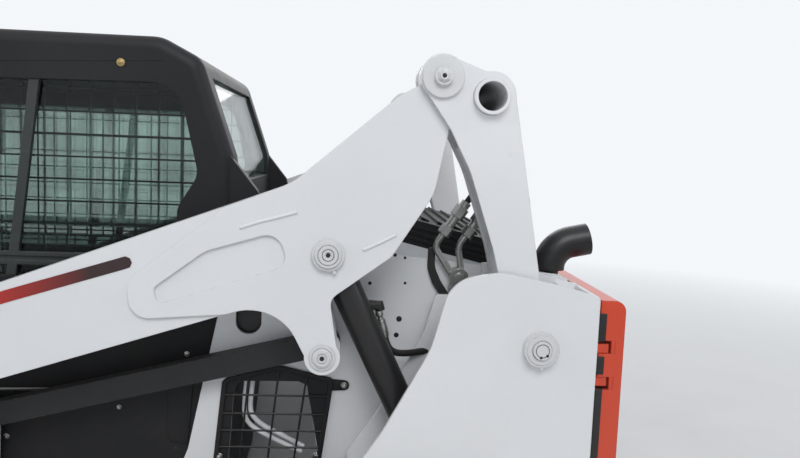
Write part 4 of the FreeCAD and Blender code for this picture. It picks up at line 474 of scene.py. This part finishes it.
def addSheet(bm, outline, low, high, bevel=0.001):      # outline in reach and height, thickness across the machine
    face = bm.faces.new([bm.verts.new(place) for place in placesAt(outline, low)])
    moved = raiseFaces(bm, [face], (0, (high - low) / 1000, 0))
    if bevel:
        bevelEdges(bm, edgesAmong(moved), bevel)


def addBlock(bm, first, second, bevel=0.002, segments=2):      # from corner to corner, in either order
    low, high = (Vector(map(pick, first, second)) for pick in (min, max))
    place = Matrix.Translation((low + high) / 2) @ Matrix.Diagonal((*(high - low), 1))
    made = bmesh.ops.create_cube(bm, size=1, matrix=place)["verts"]
    if bevel:
        bevelEdges(bm, {edge for vert in made for edge in vert.link_edges}, bevel, segments)
    return made


def addBead(name, points, radius, material, body, closed=False):      # a weld run, seal or hose held on the machine
    curve = bpy.data.curves.new(name + "_line", "CURVE")
    curve.dimensions = "3D"
    curve.bevel_depth = radius
    curve.bevel_resolution = 3
    curve.resolution_u = 8
    spline = curve.splines.new("NURBS")
    spline.points.add(len(points) - 1)
    for point, place in zip(spline.points, points):
        point.co = (*place, 1)
    spline.order_u = 3
    spline.use_endpoint_u = not closed
    spline.use_cyclic_u = closed
    curve.use_fill_caps = True
    maker = newNode(name + "_maker", curve)
    mesh = bpy.data.meshes.new_from_object(maker)
    mesh.name = name
    bpy.data.objects.remove(maker)
    piece = showMesh(name, mesh, materials[material])
    if body:
        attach(piece, body)
    return piece


bpy.context.scene.view_settings.view_transform = "Standard"
makeCamera()
makeStage()
print("camera, floor and light set")


# Finishes of the machine's own solids
dressing = {
    "whitePaint": ["main_frame", "tower_left", "tower_right", "rear_link_left", "rear_link_right", "link_cross_tube",
                   "lift_arm_left", "lift_arm_right", "arm_cross_tube", "rear_cover"],
    "pinPaint": ["link_pins", "chassis_pins"],
    "charcoalPaint": ["cab_shell", "door_frame", "rear_bumper", "engine_hood", "door_hinges", "axle_housings",
                      "bucket_carrier", "tailgate_grille", "side_screens"],
    "blackPlastic": ["control_levers", "seat_bar", "window_screens", "work_lamps"],
    "slideGrey": ["window_frames"],
    "zincSteel": ["hydraulic_tubes"],
    "hoseRubber": ["hydraulic_hoses"],
    "linkPaint": ["control_links"],
    "cylinderPaint": ["lift_barrels", "tilt_barrels", "exhaust_pipe"],
    "chromeRod": ["lift_rods", "tilt_rods", "seat_bar_pivots"],
    "orangePaint": ["tailgate_shell", "tailgate_hinges"],
    "bucketPaint": ["bucket_shell"],
    "edgeSteel": ["cutting_edge"],
    "engineIron": ["engine_block"],
    "glass": ["cab_glass", "door_glass"],
    "seatVinyl": ["seat"],
    "redLens": ["tail_lamps"],
    "rubber": [name for name in cadNodes if name.startswith("tyre_")],
    "rimPaint": [name for name in cadNodes if name.startswith("rim_")],
}
for finish, names in dressing.items():
    for name in names:
        for slot in cadNodes[name].material_slots:
            slot.link = "OBJECT"
            slot.material = materials[finish]
print("solids finished:", sum(len(names) for names in dressing.values()))


def bothSides(make, *given):
    for hand, sign in (("left", 1), ("right", -1)):
        make(*given, hand, sign, Vector((0, sign, 0)))


# Arms: the rear-fading stripe and the weld runs
armLook = {"face": 713, "plateFace": 721, "stripeHalf": 16, "stripeThick": 1.0, "weld": 0.0045,
           "stripeLine": ((476, 1414), (769, 1320), (1486, 1048)),
           "beads": {"front": ((196, 1511), (150, 1528), (100, 1541), (56, 1555)),
                     "rear": ((-112, 1465), (-150, 1482), (-193, 1506))}}


def makeArmDetail(hand, sign, out):
    bm = bmesh.new()
    line, half, face = armLook["stripeLine"], armLook["stripeHalf"], sign * armLook["face"]
    upper = [(reach, height + half) for reach, height in line]
    lower = [(reach, height - half) for reach, height in line]
    nose = [(line[0][0] - half * math.sin(turn), line[0][1] + half * math.cos(turn))
            for turn in (math.pi / 4, math.pi / 2, 3 * math.pi / 4)]
    addSheet(bm, upper + lower[::-1] + nose[::-1], face, face + sign * armLook["stripeThick"], 0)
    addPiece(bm, f"arm_stripe_{hand}", "stripePaint", "lift_arms")
    for where, line in armLook["beads"].items():
        addBead(f"arm_weld_{where}_{hand}", placesAt(line, sign * armLook["plateFace"]), armLook["weld"],
                "whitePaint", "lift_arms")


bothSides(makeArmDetail)
print("arm detail made")


# Pins: each cap's collar, its bolt or stepped cap and its grease point; thin dark rings and discs paint the shade in
# the gaps around the caps and in their sockets and holes
pinLook = {
    "arm": {"spot": [(-293, 758, 1902)], "collar": 0.023, "body": "rear_links"},
    "lift": {"spot": [(-25, 738, 1451)], "collar": 0.025, "body": "lift_arms"},
    "lobe": {"spot": [(-17, 730, 1185)], "collar": 0.021, "body": "lift_arms"},
    "foot": {"spot": [(-568, 791, 1233)], "collar": 0, "body": "chassis"},
}
liftCap = ((0.0425, -0.017), (0.043, -0.007), (0.0415, -0.004), (0.035, -0.0035), (0.034, 0.001),
           (0.0325, 0.0025), (0.026, 0.0025), (0.026, -0.017))


def makePinDetail(hand, sign, out):
    for name, look in pinLook.items():
        [centre], collar = places(look["spot"], sign), look["collar"]
        # the second mesh holds only painted shade: dark rings in the gaps around the caps and dark discs in the
        # sockets and holes
        bm, gap = bmesh.new(), bmesh.new()
        if collar:
            addRing(bm, centre + out * 0.002, out, collar, collar * 0.62, 0.004)
            addRing(bm, centre + out * 0.001, out, collar * 0.56, collar * 0.3, 0.005, 24)
            addHoleShade(gap, centre + out * (0.0085 if name == "arm" else 0.0), out, 0.0056, 0.0012)
        if name == "arm":
            addRound(bm, centre + out * 0.004, out, 0.0165, 0.008, 6)
            addRing(bm, centre + out * 0.009, out, 0.011, 0.0055, 0.004, 24)
        elif name == "lift":
            addLathe(bm, centre, out, liftCap, 40, closed=True)
            addRound(bm, centre - out * 0.01 + Vector((-0.016, 0, -0.044)), (-0.3, 0, -0.9), 0.005, 0.011, 14, 0.001)
            addRing(gap, centre + out * 0.0005, out, 0.0158, 0.0141, 0.0012, 30)
        elif name == "lobe":
            addRing(bm, centre - out * 0.0055, out, 0.0335, 0.0255, 0.004)
        else:
            addRing(bm, centre - out * 0.0068, out, 0.0385, 0.025, 0.0024)
            for turn in (1.55, 1.82):
                addRound(bm, centre - out * 0.019 + around(turn) * 0.044, around(turn), 0.004, 0.004, 12, 0.0006)
            addRound(bm, centre - out * 0.014 + Vector((-0.002, 0, -0.047)), (0, 0, -1), 0.006, 0.008, 14, 0.001)
            addRing(gap, centre + out * 0.0003, out, 0.0175, 0.016, 0.0008, 30)
            for turn in (3.9, 4.9):
                addHoleShade(gap, centre + around(turn) * 0.0172, out, 0.0035)
        addPiece(bm, f"pin_detail_{name}_{hand}", "pinPaint", look["body"])
        addPiece(gap, f"pin_painted_shade_{name}_{hand}", "cylinderPaint", look["body"])


bothSides(makePinDetail)
print("pin caps finished")


# Engine bay wall: painted shade in its drilled holes, as dark discs, and in its window, as a dark sheet set behind
# the face
wallLook = {"face": 535, "window": ((140, 516, 1180), (250, 520, 1306)),
            "holes": ((-205, 1429, 5), (-233, 1422, 4), (-138, 1348, 5), (-236, 1351, 4), (-223, 1249, 8),
                      (-217, 1203, 7), (-480, 1290, 5), (-430, 1120, 7))}


def makeWallDetail(hand, sign, out):
    bm = bmesh.new()
    for reach, height, radius in wallLook["holes"]:
        addHoleShade(bm, at(reach, sign * wallLook["face"], height), out, radius / 1000)
    # a dark sheet behind the window paints the shade inside the bay
    addBlock(bm, *places(wallLook["window"], sign), 0.001)
    addPiece(bm, f"wall_painted_shade_{hand}", "cylinderPaint", "chassis")


bothSides(makeWallDetail)


# The lift cylinder's hose, from the port on its barrel to the wall
portLook = {
    "side": 640, "port": ((-122, 1309), (-162, 1307), (-163, 1284), (-180, 1222)),
    "hose": ((-180, 640, 1222), (-187, 640, 1196), (-207, 632, 1178), (-246, 606, 1170), (-300, 574, 1171),
             (-345, 556, 1172), (-368, 538, 1170)), "hoseRadius": 0.0095, "wallEnd": [(-369, 539, 1170)],
    "crimpShape": ((0.0, -0.012), (0.0085, -0.012), (0.0105, -0.008), (0.0105, 0.003), (0.0075, 0.006),
                   (0.0075, 0.012), (0.0118, 0.016), (0.0118, 0.03), (0.0126, 0.033), (0.0126, 0.056),
                   (0.0105, 0.064), (0.0, 0.064)),
}


def makeLiftHose(hand, sign, out):
    start, turn, top, foot = placesAt(portLook["port"], sign * portLook["side"])
    down = (foot - top).normalized()
    bm = bmesh.new()
    addRound(bm, (start + turn) / 2, turn - start, 0.014, (turn - start).length, 6, 0.0015)
    addRound(bm, turn - Vector((0, 0, 0.001)), down, 0.0125, 0.024, 20, 0.0015)
    addPiece(bm, f"lift_port_{hand}", "cylinderPaint", "lift_barrels")
    bm = bmesh.new()
    addLathe(bm, top, down, portLook["crimpShape"], 24)
    addPiece(bm, f"lift_crimp_{hand}", "zincSteel", "lift_barrels")
    line = places(portLook["hose"], sign)
    hose = addBead(f"lift_hose_{hand}", line, portLook["hoseRadius"], "hoseRubber", None)
    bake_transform(hose)
    bm = bmesh.new()
    addRound(bm, places(portLook["wallEnd"], sign)[0], (-0.3, sign * 0.95, 0), 0.0145, 0.008, 6, 0.001)
    addPiece(bm, f"lift_hose_fitting_{hand}", "zincSteel", "chassis")


bothSides(makeLiftHose)
print("engine bay wall finished")


# Tailgate: a black rubber strip along the towers that paints the shade in the gap between tailgate and tower, and
# the orange behind the strip's notches
tailLook = {
    "gapShade": {"reach": (-751, -731), "side": (717, 723), "bevel": (0.002, 3),
             "rows": ((500, 606), (646, 694), (734, 1116), (1156, 1204), (1244, 1318))},
    "filler": {"reach": (-779, -768), "side": (690, 719.5), "bevel": (0.001, 2),
               "rows": ((603, 640), (700, 737), (1113, 1150), (1210, 1247))},
}


def makeTailDetail(hand, sign, out):
    for name, finish, slot in (("gapShade", "hoseRubber", "hose_rubber"), ("filler", "orangePaint", "orange_paint")):
        look, bm = tailLook[name], bmesh.new()
        for row in look["rows"]:
            addBlock(bm, *places(zip(look["reach"], look["side"], row), sign), *look["bevel"])
        addPiece(bm, f"tailgate_{name}_{hand}", finish, "tailgate")


bothSides(makeTailDetail)
print("tailgate finished")


# Side screens: the wire guard over the opening ahead of each rear wheel
screenLook = {
    "low": 535, "middle": 538, "wire": 0.003, "pipe": 0.007, "pipeSide": 500, "rim": 0.013,
    "outline": ((284, 822), (262, 1060), (250, 1072), (112, 1108), (96, 1108), (-39, 1077), (-46, 1062), (-14, 822)),
    "opening": ((243, 822), (229, 1035), (215, 1062), (140, 1064), (110, 1064), (52, 1064), (28, 1054), (-16, 822)),
    "tab": ((-30, 1074), (-76, 1070), (-76, 1042), (-38, 1040)),
    "uprights": (((210, 830), (189, 1082)), ((133, 830), (106, 1098)), ((60, 830), (28, 1088))),
    "bars": (1024, 971, 922, 874),
    "bolts": ((-4, 852), (266, 846), (-76, 1056)),
    "pipes": (((199, 1120), (199, 1063), (206, 975), (200, 935), (160, 903), (87, 868), (40, 846)),
              ((180, 1120), (181, 1063), (189, 982), (183, 950), (150, 921), (80, 886), (34, 862))),
}


def makeScreen(hand, sign, out):
    low, middle, wire = screenLook["low"], screenLook["middle"], screenLook["wire"]
    bm = bmesh.new()
    face = bm.faces.new([bm.verts.new(place) for place in placesAt(screenLook["outline"], sign * middle)])
    face.normal_update()
    bmesh.ops.inset_individual(bm, faces=[face], thickness=screenLook["rim"], use_even_offset=True)
    bmesh.ops.delete(bm, geom=[face], context="FACES_ONLY")
    bevelEdges(bm, edgesAmong(raiseFaces(bm, bm.faces[:], out * 0.005)), 0.0012)
    addSheet(bm, screenLook["tab"], sign * low, sign * (low + 5))
    addRound(bm, at(-76, sign * (low + 2.5), 1056), out, 0.0142, 0.005)
    loops = []
    for rows in (screenLook["outline"], screenLook["opening"]):
        points = [bm.verts.new(place) for place in placesAt(rows, sign * (low + 0.8))]
        loops += [bm.edges.new((points[place - 1], points[place])) for place in range(len(points))]
    bmesh.ops.bridge_loops(bm, edges=loops)
    addPiece(bm, f"side_screen_rim_{hand}", "charcoalPaint", "chassis")
    bm = bmesh.new()
    for spot in placesAt(screenLook["bolts"], sign * (low + 5)):
        addBolt(bm, spot, out, 0.012)
    addPiece(bm, f"side_screen_bolts_{hand}", "zincSteel", "chassis")
    bm = bmesh.new()
    for ends in screenLook["uprights"]:
        addRod(bm, placesAt(ends, sign * middle), wire)
    for height in screenLook["bars"]:
        reaches = 258 + (1060 - height) * 0.092, -42 + (1062 - height) * 0.133
        addRod(bm, [at(reach, sign * (middle + 2), height) for reach in reaches], wire)
    screen = addPiece(bm, f"side_screen_wires_{hand}", "cylinderPaint", "chassis")
    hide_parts("side_screens")
    for number, line in enumerate(screenLook["pipes"]):
        addBead(f"bay_pipe_{number}_{hand}", placesAt(line, sign * screenLook["pipeSide"]), screenLook["pipe"],
                "whitePaint", "chassis")


bothSides(makeScreen)
print("side screens made")


# Cab: roof seam and bolt, lower side panel, lamps, instrument panels, floor mat and headliner
cabLook = {
    "side": 500, "seam": ((864, 1914), (650, 1924), (439, 1934)), "roofBolt": [(550, 1923)],
    "panel": ((418, 1068), (420, 893), (411, 872), (360, 864), (346, 1072)),
    "bolts": ((367, 1126), (553, 969), (860, 880), (1200, 800)), "hole": [(395, 852)],
    "strip": ((1240, 1005), (1240, 1013), (700, 1023), (700, 1015)),
    "lens": ((1448, 262, 1917), (1450.5, 388, 1969)), "gaugeCase": ((1262, 320, 1640), (1318, 440, 1835)),
    "gauge": {"side": 380, "heights": (1795, 1745, 1695), "keys": (-42, 42)},
    "mat": ((500, -278, 470), (1440, 278, 478)), "matRibs": 18, "headliner": ((500, -430, 1918), (1290, 430, 1944)),
    "duct": ((470, -440, 1822), (1270, -350, 1912)), "vents": 4,
}


def makeCabDetail(hand, sign, out):
    side = sign * cabLook["side"]
    addBead(f"cab_seam_{hand}", placesAt(cabLook["seam"], side - sign), 0.0022, "charcoalPaint", "chassis")
    for name, thick, bevel, finish, slot in (("panel", 4, 0.002, "charcoalPaint", "charcoal_paint"),
                                             ("strip", 3, 0.001, "zincSteel", "zinc_steel")):
        bm = bmesh.new()
        addSheet(bm, cabLook[name], side, side + sign * thick, bevel)
        addPiece(bm, f"cab_{name}_{hand}", finish, "chassis")
    bm = bmesh.new()
    for spot in placesAt(cabLook["bolts"], side):
        addBolt(bm, spot, out, 0.0095)
    addPiece(bm, f"cab_bolts_{hand}", "zincSteel", "chassis")
    bm = bmesh.new()
    [spot] = placesAt(cabLook["roofBolt"], side)
    addRing(bm, spot + out * 0.0015, out, 0.011, 0.004, 0.003, 24)
    addRound(bm, spot + out * 0.003, out, 0.006, 0.005, 6, 0.001)
    addPiece(bm, f"cab_roof_bolt_{hand}", "brassPaint", "chassis")
    # a dark disc paints the shade inside a hole in the cab's side
    bm = bmesh.new()
    addHoleShade(bm, *placesAt(cabLook["hole"], side), out, 0.006)
    addPiece(bm, f"cab_hole_shade_{hand}", "cylinderPaint", "chassis")
    for name, piece, bevel, finish, slot in (
            ("lens", "work_lens", (0.001, 2), "clearLens", "lamp_lens"),
            ("gaugeCase", "gauge_case", (0.01, 4), "blackPlastic", "black_plastic")):
        bm = bmesh.new()
        addBlock(bm, *places(cabLook[name], sign), *bevel)
        addPiece(bm, f"{piece}_{hand}", finish, "chassis")
    bm = bmesh.new()
    middle = sign * cabLook["gauge"]["side"]
    for height in cabLook["gauge"]["heights"]:
        addRing(bm, at(1261, middle, height), (-1, 0, 0), 0.019, 0.016, 0.004, 28)
        addRound(bm, at(1261.4, middle, height), (-1, 0, 0), 0.016, 0.002, 28, 0)
        for across in cabLook["gauge"]["keys"]:
            key = middle + across
            addBlock(bm, at(1258, key - 7, height - 10), at(1262, key + 7, height + 10), 0.0015)
    addPiece(bm, f"gauge_face_{hand}", "slideGrey", "chassis")


def makeCabInside():
    bm = bmesh.new()
    addBlock(bm, *places(cabLook["mat"]), 0.003)
    for number in range(cabLook["matRibs"]):
        reach = 930 + number * 28
        addBlock(bm, at(reach, -262, 477), at(reach + 12, 262, 481), 0.0015, 1)
    addPiece(bm, "floor_mat", "rubber", "chassis")
    bm = bmesh.new()
    addBlock(bm, *places(cabLook["headliner"]), 0.01, 3)
    addPiece(bm, "headliner", "seatVinyl", "chassis")
    bm = bmesh.new()
    addBlock(bm, *places(cabLook["duct"]), 0.014, 4)
    for number in range(cabLook["vents"]):
        addBlock(bm, at(560 + number * 170, -352, 1848), at(650 + number * 170, -346, 1888), 0.004, 2)
    addPiece(bm, "air_duct", "blackPlastic", "chassis")


bothSides(makeCabDetail)
makeCabInside()
print("cab finished")


# Door: rubber around the pane, wiper, latch handle and pull; each place is across, up the pane and out from it
doorLook = {
    "foot": (1500, 0, 620), "top": (1400, 0, 1985),
    "rubberOut": 22, "half": 380, "low": 100, "high": 1220, "round": 38,
    "wiper_arm": ((0, 1238, 44), (-14, 1200, 46), (-90, 1040, 42), (-150, 905, 34)),
    "wiper_blade": ((-138, 1140, 29), (-150, 960, 29), (-162, 720, 29)),
    "door_pull": ((-404, 760, 4), (-404, 765, -34), (-404, 900, -34), (-404, 905, 4)),
    "wiper_motor": (((34, -28, 1216), (58, 28, 1262), 5),),
    "door_handle": (((34, -428, 560), (44, -392, 690), 3), ((44, -420, 582), (66, -400, 600), 3),
                    ((44, -420, 652), (66, -400, 670), 3), ((60, -422, 576), (74, -398, 676), 5)),
}


def doorSpot(across, up, out):
    foot = at(*doorLook["foot"])
    rise = (at(*doorLook["top"]) - foot).normalized()
    ahead = Vector((rise.z, 0, -rise.x))
    return foot + rise * up / 1000 + ahead * out / 1000 + Vector((0, across / 1000, 0))


def makeDoorBlocks(name, rows):      # blocks drawn upright and leant with the door
    bm = bmesh.new()
    for low, high, bevel in rows:
        made = addBlock(bm, Vector(low) / 1000, Vector(high) / 1000, 0)
        for vert in made:
            vert.co = doorSpot(vert.co.y * 1000, vert.co.z * 1000, vert.co.x * 1000)
        bevelEdges(bm, {edge for vert in made for edge in vert.link_edges}, bevel / 1000, 3)
    addPiece(bm, name, "blackPlastic", "cab_door")


def makeDoorDetail():
    half, low, high, soft = (doorLook[key] for key in ("half", "low", "high", "round"))
    ring = [(half - soft, low), (half, low), (half, low + soft)]
    ring += [(across, low + high - up) for across, up in ring[::-1]]
    ring += [(-across, low + high - up) for across, up in ring]
    addBead("door_rubber", [doorSpot(across, up, doorLook["rubberOut"]) for across, up in ring], 0.006, "rubber",
            "cab_door", closed=True)
    for name, radius, finish in (("wiper_arm", 0.0045, "cylinderPaint"), ("wiper_blade", 0.006, "rubber"),
                                 ("door_pull", 0.008, "blackPlastic")):
        addBead(name, [doorSpot(*spot) for spot in doorLook[name]], radius, finish, "cab_door")
    for name in ("wiper_motor", "door_handle"):
        makeDoorBlocks(name, doorLook[name])


makeDoorDetail()
print("door finished")


# Wheels: rounded tyres that stand for the plain ones, hubs, nuts and valves
wheelLook = {
    "reaches": {"rear": 0, "front": 1198}, "side": 760, "height": 419, "lugs": 14, "slant": 0.3, "lugShift": 0.022,
    "wall": ((0.2135, 0.1), (0.2135, 0.1115), (0.2265, 0.1125), (0.23, 0.1275), (0.242, 0.1345),
             (0.248, 0.1345), (0.252, 0.139), (0.28, 0.149), (0.296, 0.1515), (0.3, 0.1538),
             (0.304, 0.1515), (0.335, 0.153), (0.362, 0.148), (0.38, 0.138), (0.39, 0.122),
             (0.395, 0.1), (0.397, 0.06), (0.3975, 0.02)),
    "lug": ((0.006, 0.392), (0.006, 0.416), (0.06, 0.4178), (0.118, 0.4175), (0.138, 0.409), (0.151, 0.388),
            (0.1545, 0.364), (0.1535, 0.348), (0.144, 0.356), (0.13, 0.374), (0.1, 0.39)),
    "hub": ((0.0, -0.002), (0.074, -0.002), (0.074, 0.004), (0.07, 0.008), (0.062, 0.01), (0.058, 0.024),
            (0.052, 0.03), (0.03, 0.033), (0.0, 0.034)),
    "lugHalf": 0.024, "softAbove": 0.362, "softBeyond": 0.15, "discFace": 830, "nutCircle": 0.1015, "nuts": 8,
    "valveCircle": 0.158, "valveTurn": 0.9,
}


def addLugs(bm):
    half, turn = wheelLook["lugHalf"], 2 * math.pi / wheelLook["lugs"]
    for side in (1, -1):
        before = set(bm.verts)
        face = bm.faces.new([bm.verts.new((-half, side * along, radius)) for along, radius in wheelLook["lug"]])
        raiseFaces(bm, [face], (half * 2, 0, 0))
        made = [vert for vert in bm.verts if vert not in before]
        bevelEdges(bm, {edge for vert in made for edge in vert.link_edges
                        if all(end.co.z > wheelLook["softAbove"] or abs(end.co.y) > wheelLook["softBeyond"]
                               for end in edge.verts)}, 0.0035)
        made = [vert for vert in bm.verts if vert not in before]
        for vert in made:
            vert.co.x += abs(vert.co.y) * wheelLook["slant"] - wheelLook["lugShift"]
        bmesh.ops.rotate(bm, verts=made, cent=(0, 0, 0), matrix=Matrix.Rotation(turn / 2 * (side > 0), 3, "Y"))
        faces = list({face for vert in made for face in vert.link_faces})
        for number in range(1, wheelLook["lugs"]):
            copied = bmesh.ops.duplicate(bm, geom=made + faces)["geom"]
            copies = [part for part in copied if isinstance(part, bmesh.types.BMVert)]
            bmesh.ops.rotate(bm, verts=copies, cent=(0, 0, 0), matrix=Matrix.Rotation(turn * number, 3, "Y"))


def makeWheel(end, reach, hand, sign, out):
    body = f"{end}_{hand}_wheel"
    centre = at(reach, sign * wheelLook["side"], wheelLook["height"])
    bm = bmesh.new()
    addLugs(bm)
    bmesh.ops.translate(bm, vec=centre, verts=bm.verts[:])
    wall = wheelLook["wall"]
    addLathe(bm, centre, (0, 1, 0), [*wall, *[(radius, -along) for radius, along in wall[::-1]]], 84, closed=True)
    tyre = addPiece(bm, f"tyre_tread_{end}_{hand}", "rubber", body, 40)
    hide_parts(f"tyre_{end}_{hand}")
    face = at(reach, sign * wheelLook["discFace"], wheelLook["height"])
    bm = bmesh.new()
    addLathe(bm, face, out, wheelLook["hub"], 48)
    addRing(bm, face + out * 0.002, out, 0.13, 0.123, 0.004, 64)
    addRing(bm, face + out * 0.002, out, 0.188, 0.176, 0.004, 72)
    addPiece(bm, f"hub_{end}_{hand}", "rimPaint", body)
    bm = bmesh.new()
    for number in range(wheelLook["nuts"]):
        turn = 2 * math.pi * (number + 0.5) / wheelLook["nuts"]
        spot = face + around(turn) * wheelLook["nutCircle"]
        addRound(bm, spot + out * 0.003, out, 0.0165, 0.006, 24, 0, top=0.0135)
        addRound(bm, spot + out * 0.014, out, 0.0135, 0.017, 6)
        addRound(bm, spot + out * 0.026, out, 0.0075, 0.008, 16, 0.0008)
    addPiece(bm, f"wheel_nuts_{end}_{hand}", "zincSteel", body)
    bm = bmesh.new()
    turn = wheelLook["valveTurn"]
    spot = face + around(turn) * wheelLook["valveCircle"]
    addRound(bm, spot + out * 0.001, out, 0.013, 0.002, 24, 0.0006)
    addRound(bm, spot + out * 0.014, out, 0.0042, 0.026, 14, 0.0006)
    addRound(bm, spot + out * 0.029, out, 0.0055, 0.009, 14, 0.001)
    addPiece(bm, f"valve_{end}_{hand}", "cylinderPaint", body)


for wheelEnd, wheelReach in wheelLook["reaches"].items():
    bothSides(makeWheel, wheelEnd, wheelReach)
print("wheels made")


# Seat: a pedestal, and cushions blown up a little by cloth
seatLook = {
    "cushion": {"low": (478, -232, 786), "high": (926, 232, 862), "lean": 0, "across": (-0.15, 0.15),
                "along": (-0.075, 0.075)},
    "back": {"low": (388, -224, 830), "high": (470, 224, 1312), "lean": 0.125, "across": (-0.15, 0.15),
             "along": (-0.12, 0.0, 0.12)},
}
padLook = {"round": 0.026, "voxel": 0.008, "pressure": 4, "steps": 20, "cap": 0.02, "channelHalf": 0.006,
           "channelDepth": 0.009}


def makeCushion(name, look):
    bm = bmesh.new()
    low, high = at(*look["low"]), at(*look["high"])
    middle, flat = (low + high) / 2, high.z - low.z < high.x - low.x
    addBlock(bm, low, high, 0)
    bevelEdges(bm, bm.edges[:], padLook["round"], 4)
    pad = newObject(bm, name, materials["seatVinyl"], 60)
    remesh = pad.modifiers.new("even", "REMESH")
    remesh.mode = "VOXEL"
    remesh.voxel_size = padLook["voxel"]
    cloth = pad.modifiers.new("blown", "CLOTH")
    cloth.settings.uniform_pressure_force = padLook["pressure"]
    cloth.settings.use_pressure = True
    cloth.settings.effector_weights.gravity = 0
    cloth.point_cache.frame_start, cloth.point_cache.frame_end = 1, padLook["steps"]
    for step in range(1, padLook["steps"] + 1):
        bpy.context.scene.frame_set(step)
    before = [vert.co.copy() for vert in evaluatedMesh(pad, "blown").vertices]
    mesh = evaluatedMesh(pad)
    pad.modifiers.clear()
    bpy.context.scene.frame_set(1)
    for vert, start in zip(mesh.vertices, before):
        step = vert.co - start
        if step.length > padLook["cap"]:
            vert.co = start + step.normalized() * padLook["cap"]
    bm = bmesh.new()
    bm.from_mesh(mesh)
    bm.normal_update()
    for vert in bm.verts:      # the sewn channels sink into the outer face, and the back leans
        place = vert.co - middle
        along = place.x if flat else place.z
        gaps = [place.y - line for line in look["across"]] + [along - line for line in look["along"]]
        sunk = max(math.exp(-(gap / padLook["channelHalf"]) ** 2) for gap in gaps)
        vert.co -= vert.normal * padLook["channelDepth"] * sunk * max(0.0, vert.normal.z if flat else vert.normal.x)
        vert.co.x -= (vert.co.z - low.z) * look["lean"]
    bm.to_mesh(mesh)
    bm.free()
    pad.data = mesh
    mesh.name = name
    mesh.polygons.foreach_set("use_smooth", [True] * len(mesh.polygons))
    soft = pad.modifiers.new("soft", "SUBSURF")
    soft.levels = soft.render_levels = 1
    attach(pad, "chassis")
    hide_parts("seat")


def evaluatedMesh(piece, without=None):
    for modifier in piece.modifiers:
        modifier.show_viewport = modifier.name != without
    bpy.context.view_layer.update()
    graph = bpy.context.evaluated_depsgraph_get()
    return bpy.data.meshes.new_from_object(piece.evaluated_get(graph))


def makeSeat():
    for name, look in seatLook.items():
        makeCushion(f"seat_{name}", look)
    bm = bmesh.new()
    addBlock(bm, at(490, -236, 470), at(892, 236, 700), 0.014, 4)
    addBlock(bm, at(500, -215, 700), at(880, 215, 742), 0.006, 2)
    addBlock(bm, at(478, -228, 742), at(918, 228, 784), 0.012, 3)
    addPiece(bm, "seat_pedestal", "blackPlastic", "chassis")
    bm = bmesh.new()
    shell = ((400, 786), (412, 800), (356, 1290), (352, 1318), (342, 1318), (336, 1290), (376, 800), (380, 786))
    addSheet(bm, shell, -216, 216, 0.006)
    addPiece(bm, "seat_shell", "blackPlastic", "chassis")


makeSeat()
print("seat made")


# Levers: a ribbed boot at the foot of each, with buttons on the grip
leverLook = {"reach": 1010, "side": 345, "ribs": 5, "buttons": ((1052, 1106), (1062, 1094)), "buttonSide": 337}


def makeLever(hand, sign, out):
    rows = [(0.0, 0.926), (0.052, 0.926), (0.054, 0.932)]
    for number in range(leverLook["ribs"]):
        radius, height = 0.05 - number * 0.0065, 0.937 + number * 0.011
        rows += [(radius - 0.005, height), (radius, height + 0.005)]
    rows += [(0.018, 0.995), (0.0, 0.995)]
    bm = bmesh.new()
    addLathe(bm, at(leverLook["reach"], sign * leverLook["side"], 0), (0, 0, 1), rows, 32)
    addPiece(bm, f"lever_boot_{hand}", "rubber", "chassis")
    bm = bmesh.new()
    for reach, height in leverLook["buttons"]:
        addRound(bm, at(reach, sign * leverLook["buttonSide"], height), (0.7, 0, 0.7), 0.006, 0.012, 16, 0.001)
    addPiece(bm, f"lever_buttons_{hand}", "amberLens", "chassis")


bothSides(makeLever)
print("levers finished")


# Bucket: bolt heads along the cutting edge
bucketLook = {"boltReach": 2622, "boltSides": (-830, -590, -350, -110, 130, 370, 610, 830), "top": 20,
              "head": ((0.0, -0.001), (0.02, -0.001), (0.019, 0.002), (0.012, 0.0055), (0.0, 0.0065))}


def makeBucketDetail():
    bm = bmesh.new()
    for side in bucketLook["boltSides"]:
        addLathe(bm, at(bucketLook["boltReach"], side, bucketLook["top"]), (0, 0, 1), bucketLook["head"], 24)
    addPiece(bm, "edge_bolts", "edgeSteel", "bucket")


makeBucketDetail()
print("bucket finished")
